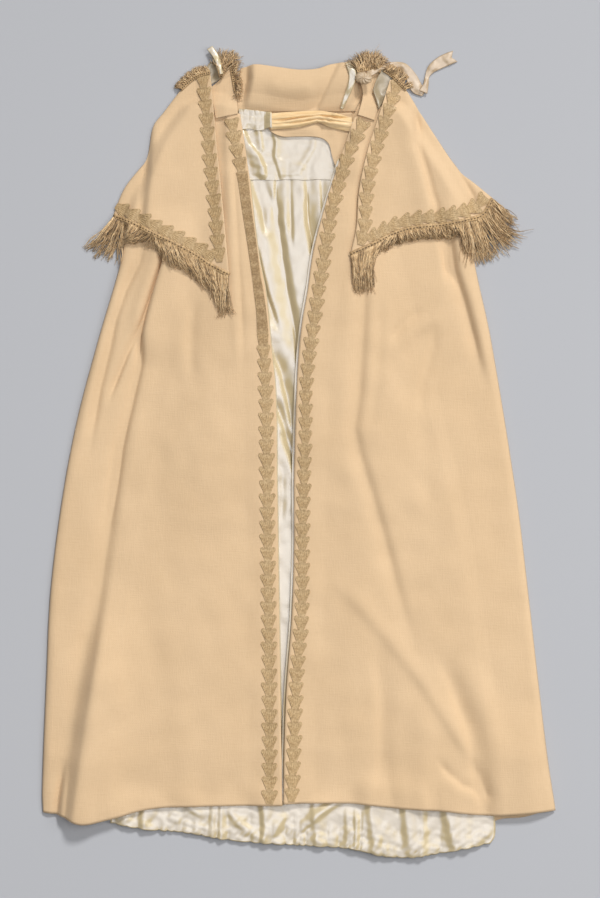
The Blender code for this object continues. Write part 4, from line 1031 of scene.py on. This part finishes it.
def lay_fringe(root, locks, count, outward, spread, loft, seed):
    """Hang threads from a line in hanks; the table says how far each goes and how its end curls aside."""
    chance = np.random.default_rng(seed)
    share = (np.arange(count) + chance.uniform(0, 1, count)) / count
    hank = (share * count / HANK_THREADS).astype(int)
    hanks = hank.max() + 1
    table = np.array(locks, float)
    across, up, curl, loose = (np.interp(share, table[:, 0], table[:, k]) for k in (1, 2, 3, 4))
    aside = chance.normal(0, HANK_TURN, hanks)[hank] + chance.normal(0, THREAD_TURN, count)
    turn = spread * loose * aside
    reach = np.column_stack((
        across * np.cos(turn) - up * np.sin(turn), across * np.sin(turn) + up * np.cos(turn)))
    reach *= (chance.uniform(*HANK_LENGTHS, hanks)[hank] * chance.uniform(*THREAD_LENGTHS, count))[:, None]
    length = np.linalg.norm(reach, axis=1)
    beside = np.column_stack((-reach[:, 1], reach[:, 0])) / length[:, None]
    start = line_at(root, share)[:, :2] + sides_at(root, share) * outward * THREAD_START
    t = even(THREAD_STATIONS)[None, :]
    phase = chance.uniform(0, 2 * math.pi, count)[:, None]
    crimp = chance.uniform(*CRIMP_WIDTHS, count)[:, None] * t
    crimp = crimp * np.sin(chance.uniform(*CRIMP_WAVES, count)[:, None] * t + phase)
    swerve = chance.normal(0, HANK_BEND, hanks)[hank] + chance.normal(0, THREAD_BEND, count)
    bend = curl + np.sqrt(spread * loose) * swerve
    flat = start[:, None] + reach[:, None] * t[..., None]
    flat = flat + beside[:, None] * (crimp + (bend * length)[:, None] * t ** 2)[..., None]
    field = softened(2)
    root_spots = line_at(root, share)[:, :2] - sides_at(root, share) * outward * THREAD_ROOT
    over = height_at(field, root_spots) - THREAD_SINK
    low = height_at(field, flat) + THREAD_RADIUS + SEAM
    fall = np.maximum(over[:, None] - low, 0.0) * np.exp(-THREAD_FALL * t)
    arch = np.sin(math.pi * np.minimum(t * LOFT_RUN + LOFT_START, 1.0))
    plump = chance.uniform(0, loft, count)[:, None] * arch
    level = low + fall + plump + THREAD_WAVE * (np.sin(THREAD_WAVES * t + 2 * phase) + 1)
    radius = THREAD_RADIUS * chance.uniform(*THREAD_GIRTHS, count)[:, None] * (1 - THREAD_TAPER * t ** 2)
    verts = []
    for angle in THREAD_SIDES:
        side = radius * math.cos(math.radians(angle))
        lift = radius * math.sin(math.radians(angle))
        verts.append(np.dstack((flat + beside[:, None] * side[..., None], level + lift)))
    verts = np.stack(verts, axis=2).reshape(-1, 3)
    faces = []
    for first in range(0, len(verts), 3 * THREAD_STATIONS):
        faces += tube_faces(first, THREAD_STATIONS)
    tints = chance.normal(THREAD_TINT, THREAD_TINT_SPREAD, count)[:, None] + TIP_TINT * (t - 0.5)
    tints = np.clip(tints, DARKEST_TINT, 1.0)
    return verts, faces, np.repeat(tints.ravel(), 3)


def lay_heading(root, outward, lines, pitch):
    """Tape that the threads hang from: two bands with a row of eyelets between them, over a dark strip that
    is painted shade inside the eyelets.
    """
    count = round(length_of(root) / pitch)
    shares = even(2 * count + 1)
    middle = line_at(root, shares)[:, :2]
    side = sides_at(root, shares) * outward
    level = height_at(softened(2), middle + side * lines[0])
    width = len(shares)
    verts = []
    for drop in (0.0, HEADING_WALL):
        for across, rise in zip(lines, HEADING_RISES):
            verts.append(np.column_stack((middle + side * across, level + HEADING_RISE + rise - drop)))
    for across in (lines[1] - SHADE_STRIP_OVERLAP, lines[2] + SHADE_STRIP_OVERLAP):
        for rise in SHADE_STRIP_RISES:
            under = level + HEADING_RISE + rise - HEADING_WALL
            verts.append(np.column_stack((middle + side * across, under)))
    below = 4 * width
    tops = []
    for band in range(3):
        for k in range(band == 1, width - 1, 1 + (band == 1)):
            a = band * width + k
            tops.append((a, a + 1, a + 1 + width, a + width))
    faces = closed(tops, below)
    strip = 2 * below
    for k in range(strip, strip + width - 1):
        faces += [
            (k, k + 1, k + 1 + 2 * width, k + 2 * width),
            (k + width, k + 3 * width, k + 1 + 3 * width, k + 1 + width),
            (k, k + width, k + 1 + width, k + 1),
            (k + 2 * width, k + 1 + 2 * width, k + 1 + 3 * width, k + 3 * width)]
    for k in (strip, strip + width - 1):
        faces.append((k, k + 2 * width, k + 3 * width, k + width))
    # The strip under the eyelets takes the darkest tint: painted shade.
    tints = np.concatenate((np.tile(np.resize(HEADING_TINTS, width), 8), np.zeros(4 * width)))
    return np.concatenate(verts), faces, tints


def lay_trimming(name, solid, root, locks, count, spread, loft, seed, outward, heading, pitch):
    """A whole length of fringe, its threads and its tape in one."""
    threads, thread_faces, thread_tints = lay_fringe(root, locks, count, outward, spread, loft, seed)
    tape, tape_faces, tape_tints = lay_heading(root, outward, heading, pitch)
    faces = thread_faces + [tuple(len(threads) + v for v in face) for face in tape_faces]
    piece = many(name, np.concatenate((threads, tape)), faces, np.concatenate((thread_tints, tape_tints)))
    return fit(piece, fringe_finish, "fringe", solid)


def lay_short_fringe(name, solid, root, locks, count, spread, loft, seed):
    """Fringe on the narrow tape that goes round the neck."""
    return lay_trimming(name, solid, root, locks, count, spread, loft, seed, outward=1.0,
                        heading=COLLAR_HEADING, pitch=COLLAR_EYELETS)


fringe_finish = silky_thread(
    "olive_fringe", dark=(0.13, 0.07, 0.025), mid=(0.54, 0.35, 0.165), bright=(0.84, 0.62, 0.35),
    streaks=160.0)
COLLAR_LEFT_ROOT = [Point(-131, 616), Point(-121, 632), Point(-114, 638), Point(-110, 622), Point(-105, 594)]
COLLAR_LEFT_LOCKS = [
    Lock(0.0, 0, 46, -0.1), Lock(0.3, 6, 32, -0.15), Lock(0.5, 10, 18, 0.1),
    Lock(0.75, 15, -2, -0.2), Lock(1.0, 12, -14, -0.2)]
fringe = lay_short_fringe(
    "collar_left_fringe", "fringe_collar_left", COLLAR_LEFT_ROOT, COLLAR_LEFT_LOCKS,
    count=220, spread=4.0, loft=9.0, seed=11)
COLLAR_RIGHT_ROOT = [Point(93, 626), Point(112, 631), Point(134, 628)]
COLLAR_RIGHT_LOCKS = [Lock(0.0, 4, 22, 0.25), Lock(0.5, 6, 34, -0.1), Lock(1.0, -4, 24, -0.35)]
fringe = lay_short_fringe(
    "collar_right_fringe", "fringe_collar_right", COLLAR_RIGHT_ROOT, COLLAR_RIGHT_LOCKS,
    count=220, spread=4.0, loft=10.0, seed=12)

# Fronts of the shoulder cape. Two flaps of the wool that hang from the neck over the shoulders.
# They roll under at the shoulders, where a crease stands between the flap and the back of the cape.
CAPE_LEFT_SIDE = [
    Point(-307, 390), Point(-288, 435), Point(-251, 486), Point(-240, 537), Point(-223, 560),
    Point(-194, 598)]
CAPE_LEFT_EDGE = [Point(-115, 290), Point(-125, 400), Point(-135, 499), Point(-141, 565), Point(-147, 626)]
CAPE_LEFT_HEM = [Point(-283, 380), Point(-227, 352), Point(-172, 324), Point(-149, 308)]
CAPE_LEFT_NECK = Point(-172, 618)
CAPE_RIGHT_EDGE = [
    Point(83, 324), Point(93, 370), Point(97, 428), Point(110, 491), Point(130, 554), Point(149, 614)]
CAPE_RIGHT_SIDE = [Point(319, 418), Point(297, 436), Point(260, 468), Point(223, 521), Point(174, 598)]
CAPE_RIGHT_HEM = [
    Point(123, 342), Point(153, 358), Point(181, 367), Point(243, 374), Point(278, 382), Point(303, 392)]
CAPE_RIGHT_NECK = Point(163, 610)
CAPE_BEND = 8
CAPE_AIR = 1.2
CAPE_SHOULDER_AIR = 2.0
CAPE_LEFT_FOLDS = [
    Fold(5, 12, 0.5, [(-252, 340), (-246, 405), (-240, 460), (-240, 510), (-238, 560)]),
    Fold(-4, 6, 1.0, [(-266, 340), (-260, 405), (-254, 460), (-253, 510), (-252, 560)]),
    Fold(2, 26, 1.0, [(-176, 330), (-180, 400), (-186, 500), (-192, 570)]),
    Fold(1.5, 16, 1.0, [(-212, 372), (-214, 420), (-206, 480)])]
CAPE_RIGHT_FOLDS = [
    Fold(-4, 6, 1.0, [(228, 340), (225, 408), (219, 424), (209, 463), (196, 506), (194, 540), (196, 600)]),
    Fold(4, 12, 1.5, [(212, 340), (209, 410), (196, 463), (182, 506), (180, 545), (182, 600)]),
    Fold(3, 14, 1.0, [(248, 360), (246, 420), (236, 470), (222, 520)]),
    Fold(-4, 5, 1.0, [(290, 400), (286, 424), (266, 460), (256, 490)]),
    Fold(3, 9, 1.4, [(276, 400), (272, 424), (254, 458), (244, 490)]),
    Fold(1.5, 20, 1.0, [(140, 380), (150, 440), (160, 520)])]


def cape_rise(spots, from_edge, folds, side):
    """Rise of a cape front: the air under it, most at the shoulder, its folds and its unevenness."""
    rise = CAPE_SHOULDER_AIR * from_edge + CAPE_AIR + folds_at(spots, folds)
    return rolled(spots, rise + wandering(spots, reach=24, rise=0.4), side)


across = graded((0.0, 0.08, 1.0), (8, 66))
up = even(105)
spots = panel(CAPE_LEFT_SIDE, CAPE_LEFT_EDGE, across, up, CAPE_LEFT_HEM, [CAPE_LEFT_NECK])
rise = cape_rise(spots, 1 - across, CAPE_LEFT_FOLDS, "left")
cape_left = lay("cape_left_wool", spots, WOOL_WALL, CAPE_BEND, rise)
fit(cape_left, wool_finish, "wool", "capelet_left")
across = 1 - across[::-1]
spots = panel(CAPE_RIGHT_EDGE, CAPE_RIGHT_SIDE, across, up, CAPE_RIGHT_HEM, [CAPE_RIGHT_NECK])
rise = cape_rise(spots, across, CAPE_RIGHT_FOLDS, "right")
cape_right = lay("cape_right_wool", spots, WOOL_WALL, CAPE_BEND, rise)
fit(cape_right, wool_finish, "wool", "capelet_right")

# Fringe round the neck of the cape. The same crimped silk threads on their tape, along the top edge of
# each cape front, short and bunched.
NECK_LEFT_ROOT = [Point(-196, 598), CAPE_LEFT_NECK, CAPE_LEFT_EDGE[-1]]
NECK_LEFT_LOCKS = [Lock(0.0, -11, 7, 0.1), Lock(0.5, -10, 11, -0.1), Lock(1.0, -7, 14, 0.2)]
neck_fringe_left = lay_short_fringe(
    "neck_left_fringe", "fringe_neck_left", NECK_LEFT_ROOT, NECK_LEFT_LOCKS,
    count=190, spread=2.0, loft=5.0, seed=13)
NECK_RIGHT_ROOT = [Point(139, 630), Point(151, 622), CAPE_RIGHT_NECK, Point(176, 598)]
NECK_RIGHT_LOCKS = [
    Lock(0.0, 12, 8, 0.1), Lock(0.35, 14, 14, 0.1), Lock(0.7, 14, 14, -0.1), Lock(1.0, 15, 6, 0.1)]
neck_fringe_right = lay_short_fringe(
    "neck_right_fringe", "fringe_neck_right", NECK_RIGHT_ROOT, NECK_RIGHT_LOCKS,
    count=140, spread=2.0, loft=6.0, seed=14)

# Braid on the cape. The same leaf-bud trimming down the front edge of each flap and along its hem,
# just inside the fringe, stitched flat to the wool.
HEM_BRAID_RIGHT_PITCH = 18.6
CAPE_BRAID_LEFT = [
    Stop(-160, 624, 24), Stop(-154, 565, 25), Stop(-149, 499, 25), Stop(-139, 400, 25), Stop(-131, 312, 25)]
CAPE_BRAID_RIGHT = [
    Stop(163, 612, 24), Stop(144, 554, 25), Stop(124, 491, 25), Stop(111, 428, 25), Stop(107, 370, 25),
    Stop(100, 340, 25)]
HEM_BRAID_LEFT = [
    Stop(-139, 316, 26), Stop(-163, 333, 29), Stop(-205, 355, 29), Stop(-250, 378, 29), Stop(-288, 398, 28),
    Stop(-303, 407, 24)]
HEM_BRAID_RIGHT = [
    Stop(308, 423, 26), Stop(293, 408, 28), Stop(266, 395, 29), Stop(233, 388, 29), Stop(198, 384, 29),
    Stop(168, 378, 29), Stop(142, 366, 29), Stop(112, 350, 27)]
for name, stops, pitch, solid in (
        ("cape_left_braid", CAPE_BRAID_LEFT, BRAID_PITCH, "braid_capelet_left"),
        ("cape_hem_left_braid", HEM_BRAID_LEFT, BRAID_PITCH, "braid_hem_left"),
        ("cape_right_braid", CAPE_BRAID_RIGHT, BRAID_PITCH, "braid_capelet_right"),
        ("cape_hem_right_braid", HEM_BRAID_RIGHT, HEM_BRAID_RIGHT_PITCH, "braid_hem_right")):
    fit(lay_braid(name, stops, pitch), braid_finish, "braid", solid)

# Fringe along the hem of the cape. Long crimped silk threads on a tape with a row of eyelets.
# They hang close together in hanks, some swept aside or turned back under the edge.
HEM_HEADING = (-4.2, -0.8, 0.8, 3.2)
HEM_EYELETS = 5.4
HEM_LEFT_ROOT = [CAPE_LEFT_SIDE[0], *CAPE_LEFT_HEM, CAPE_LEFT_EDGE[0]]
HEM_LEFT_LOCKS = [
    Lock(0.0, -40, -58, -0.15), Lock(0.04, -27, -70, -0.1), Lock(0.09, -18, -76, -0.05),
    Lock(0.11, -12, -40, 0.0), Lock(0.14, -8, -24, -0.25), Lock(0.2, -19, -34, -0.35),
    Lock(0.28, -28, -30, -0.35), Lock(0.33, -24, -20, -0.3), Lock(0.345, 4, -28, 0.1),
    Lock(0.45, 12, -48, 0.18), Lock(0.6, 17, -55, 0.18), Lock(0.75, 15, -57, 0.18),
    Lock(0.85, 11, -58, 0.12), Lock(0.88, 8, -68, 0.05), Lock(0.94, 4, -72, 0.0), Lock(1.0, -5, -70, -0.05)]
fringe = lay_trimming(
    "cape_hem_left_fringe", "fringe_hem_left", HEM_LEFT_ROOT, HEM_LEFT_LOCKS,
    count=900, spread=0.5, loft=7.0, seed=21, outward=-1.0, heading=HEM_HEADING, pitch=HEM_EYELETS)
HEM_RIGHT_ROOT = [CAPE_RIGHT_EDGE[0], *CAPE_RIGHT_HEM, CAPE_RIGHT_SIDE[0]]
HEM_RIGHT_LOCKS = [
    Lock(0.0, 10, -60, 0.0), Lock(0.06, 2, -70, 0.02), Lock(0.13, -16, -74, 0.1), Lock(0.19, -34, -68, 0.16),
    Lock(0.235, -44, -56, 0.2), Lock(0.25, -6, -16, 0.0), Lock(0.3, -14, -30, -0.2), Lock(0.33, 2, -18, 0.0),
    Lock(0.45, 5, -19, 0.2), Lock(0.7, 7, -22, 0.1), Lock(0.735, 12, -58, 0.1, 2.5),
    Lock(0.78, 20, -76, 0.05, 4.0), Lock(0.84, 27, -75, 0.1, 5.0), Lock(0.9, 36, -62, 0.1, 5.0),
    Lock(0.95, 41, -47, 0.05, 4.0), Lock(1.0, 36, -29, -0.1, 3.0)]
fringe = lay_trimming(
    "cape_hem_right_fringe", "fringe_hem_right", HEM_RIGHT_ROOT, HEM_RIGHT_LOCKS,
    count=1100, spread=0.4, loft=8.0, seed=22, outward=-1.0, heading=HEM_HEADING, pitch=HEM_EYELETS)

# Neck ribbons. Narrow cream silk ribbon sewn at the neck to tie the cloak: a short end on the left,
# and on the right a knot with a band that loops over the cape and a long twisted tail.
RIBBON_WALL = 0.8
RIBBON_TWISTS = 9.0
NOTCH_SHARPNESS = 6


def lay_ribbon(name, stops, columns, rows, reach, cup, notch=0.0, air=0.6):
    """Lay a ribbon along stops that give its middle and width, cupped, creased and notched at its end."""
    shares = even(rows)
    middle = line_at(stops, shares)
    across = np.linspace(0.5, -0.5, columns)
    side = sides_at(stops, shares)
    spots = middle[:, None, :2] + side[:, None] * (middle[:, 2:3] * across[None, :])[..., None]
    back = np.stack((-side[:, 1], side[:, 0]), axis=1) * shares[:, None] ** NOTCH_SHARPNESS
    spots = spots + back[:, None] * (notch * (1 - 2 * np.abs(across)))[None, :, None]
    curve = cup * np.sin(math.pi * even(columns))[None, :] * np.sin(shares * RIBBON_TWISTS)[:, None] ** 2
    return lay(name, spots, RIBBON_WALL, reach, curve + rumpled(spots, length=12, rise=0.22, seed=rows) + air)


RIBBON_SHADED = (0.52, 0.38, 0.235)
RIBBON_CREAM = (0.665, 0.525, 0.385)
ribbon_finish = satin_cloth("cream_ribbon", RIBBON_SHADED, RIBBON_CREAM, gloss=1.45, roughness=0.4)
RIBBON_LEFT = [Stop(-148, 667, 10), Stop(-138, 652, 9), Stop(-128, 622, 5)]
ribbon = lay_ribbon("ribbon_left_silk", RIBBON_LEFT, columns=9, rows=33, reach=8, cup=1.5, air=6.0)
fit_silk(ribbon, satin_finish, "ribbon", "ribbon_left")
RIBBON_COLLAR = [Stop(80, 641, 9), Stop(87, 621, 12), Stop(84, 603, 9), Stop(76, 583, 7), Stop(69, 565, 4)]
ribbon = lay_ribbon("ribbon_collar_silk", RIBBON_COLLAR, columns=9, rows=37, reach=4, cup=1.2)
fit_silk(ribbon, satin_finish, "ribbon", "ribbon_collar")
RIBBON_BAND = [
    Stop(112, 622, 9), Stop(144, 638, 9), Stop(170, 637, 12), Stop(184, 620, 18), Stop(193, 602, 20),
    Stop(206, 594, 14)]
band = lay_ribbon("ribbon_band_silk", RIBBON_BAND, columns=15, rows=61, reach=4, cup=3.0)
fit_silk(band, ribbon_finish, "ribbon", "ribbon_band")
RIBBON_TAIL = [
    Stop(204, 594, 14), Stop(208.5, 607, 8), Stop(210.5, 620, 7), Stop(217, 632, 13), Stop(228, 640.5, 18),
    Stop(240, 647, 20), Stop(257, 654, 19)]
tail = lay_ribbon("ribbon_tail_silk", RIBBON_TAIL, columns=13, rows=61, reach=3, cup=2.5, notch=7.0)
fit_silk(tail, ribbon_finish, "ribbon", "ribbon_tail")
KNOT_MIDDLE = (105.0, 614.0)
KNOT_HALF = (12.0, 10.5, 4.5)
KNOT_SINK = 0.9
KNOT_BEND = 10
KNOT_PLEATS = 9
KNOT_PLEAT = 0.09
KNOT_TWIST = 5
KNOT_WAIST = 0.14
KNOT_TURN = 0.6
bpy.ops.mesh.primitive_uv_sphere_add(segments=48, ring_count=24, radius=1.0)
knot = bpy.context.active_object
knot.name = "ribbon_knot_silk"
ball = np.empty(len(knot.data.vertices) * 3)
knot.data.vertices.foreach_get("co", ball)
ball = ball.reshape(-1, 3)
turn = np.arctan2(ball[:, 1], ball[:, 0])
pleats = 1 + KNOT_PLEAT * np.sin(KNOT_PLEATS * turn + KNOT_TWIST * ball[:, 2])
pleats += KNOT_WAIST * np.cos(2 * turn + KNOT_TURN)
level = height_at(softened(KNOT_BEND), np.array([[KNOT_MIDDLE]]))[0, 0] + KNOT_HALF[2] * KNOT_SINK
ball = ball * np.array(KNOT_HALF) * pleats[:, None] + np.array([*KNOT_MIDDLE, level])
knot.data.vertices.foreach_set("co", (ball * MM).ravel())
bpy.ops.object.shade_smooth()
knot.select_set(False)
fit_silk(knot, ribbon_finish, "ribbon", "ribbon_knot")

# Floor, light and camera. A plain pale grey floor, soft light from large panels overhead and from the
# upper right, and a camera that looks straight down.
FLOOR_GREY = (0.47, 0.475, 0.495, 1.0)
FLOOR_SIZE = 9.0
FLOOR_DROP = 0.0005
SUN_PLACE = (0.97, 2.41, 2.1)
SUN_POWER = 2.16
SUN_SPREAD = 11.0
SKY_COLOUR = (0.96, 0.97, 1.0, 1.0)
SKY_POWER = 0.21
CAMERA_PLACE = (0.0008, 0.0058, 3.5)
CAMERA_LENS = 85.0
CAMERA_SENSOR = 36.0
bpy.ops.mesh.primitive_plane_add(size=FLOOR_SIZE, location=(0.0, 0.0, -FLOOR_DROP))
floor = bpy.context.active_object
floor.name = "pale_floor"
bpy.ops.object.transform_apply(location=True, rotation=True, scale=True)
paper = finish_of("pale_grey_paper", Base_Color=FLOOR_GREY, Roughness=0.9, Specular_IOR_Level=0.2)[0]
floor.data.materials.append(paper)

Panel = namedtuple("Panel", "x y z width length power")
LIGHTS = [Panel(0.1, 0.1, 4.2, 2.4, 2.4, 52.0), Panel(3.4, 0.4, 3.4, 2.4, 2.4, 66.0)]


def aimed(lamp):
    """Turn a lamp to the middle of the cloak."""
    lamp.rotation_euler = (-lamp.location).to_track_quat("-Z", "Y").to_euler()


for light in LIGHTS:
    bpy.ops.object.light_add(type="AREA", location=(light.x, light.y, light.z))
    lamp = bpy.context.active_object
    lamp.data.shape = "RECTANGLE"
    lamp.data.size = light.width
    lamp.data.size_y = light.length
    lamp.data.energy = light.power
    aimed(lamp)
bpy.ops.object.light_add(type="SUN", location=SUN_PLACE)
key = bpy.context.active_object
key.data.energy = SUN_POWER
key.data.angle = math.radians(SUN_SPREAD)
aimed(key)
world = bpy.data.worlds.new("studio")
world.use_nodes = True
set_sockets(world.node_tree.nodes["Background"], {"Color": SKY_COLOUR, "Strength": SKY_POWER})
bpy.context.scene.world = world

bpy.ops.object.camera_add(location=CAMERA_PLACE, rotation=(0.0, 0.0, 0.0))
camera = bpy.context.active_object
camera.data.lens = CAMERA_LENS
camera.data.sensor_width = CAMERA_SENSOR
bpy.context.scene.camera = camera
bpy.context.scene.view_settings.view_transform = "Standard"
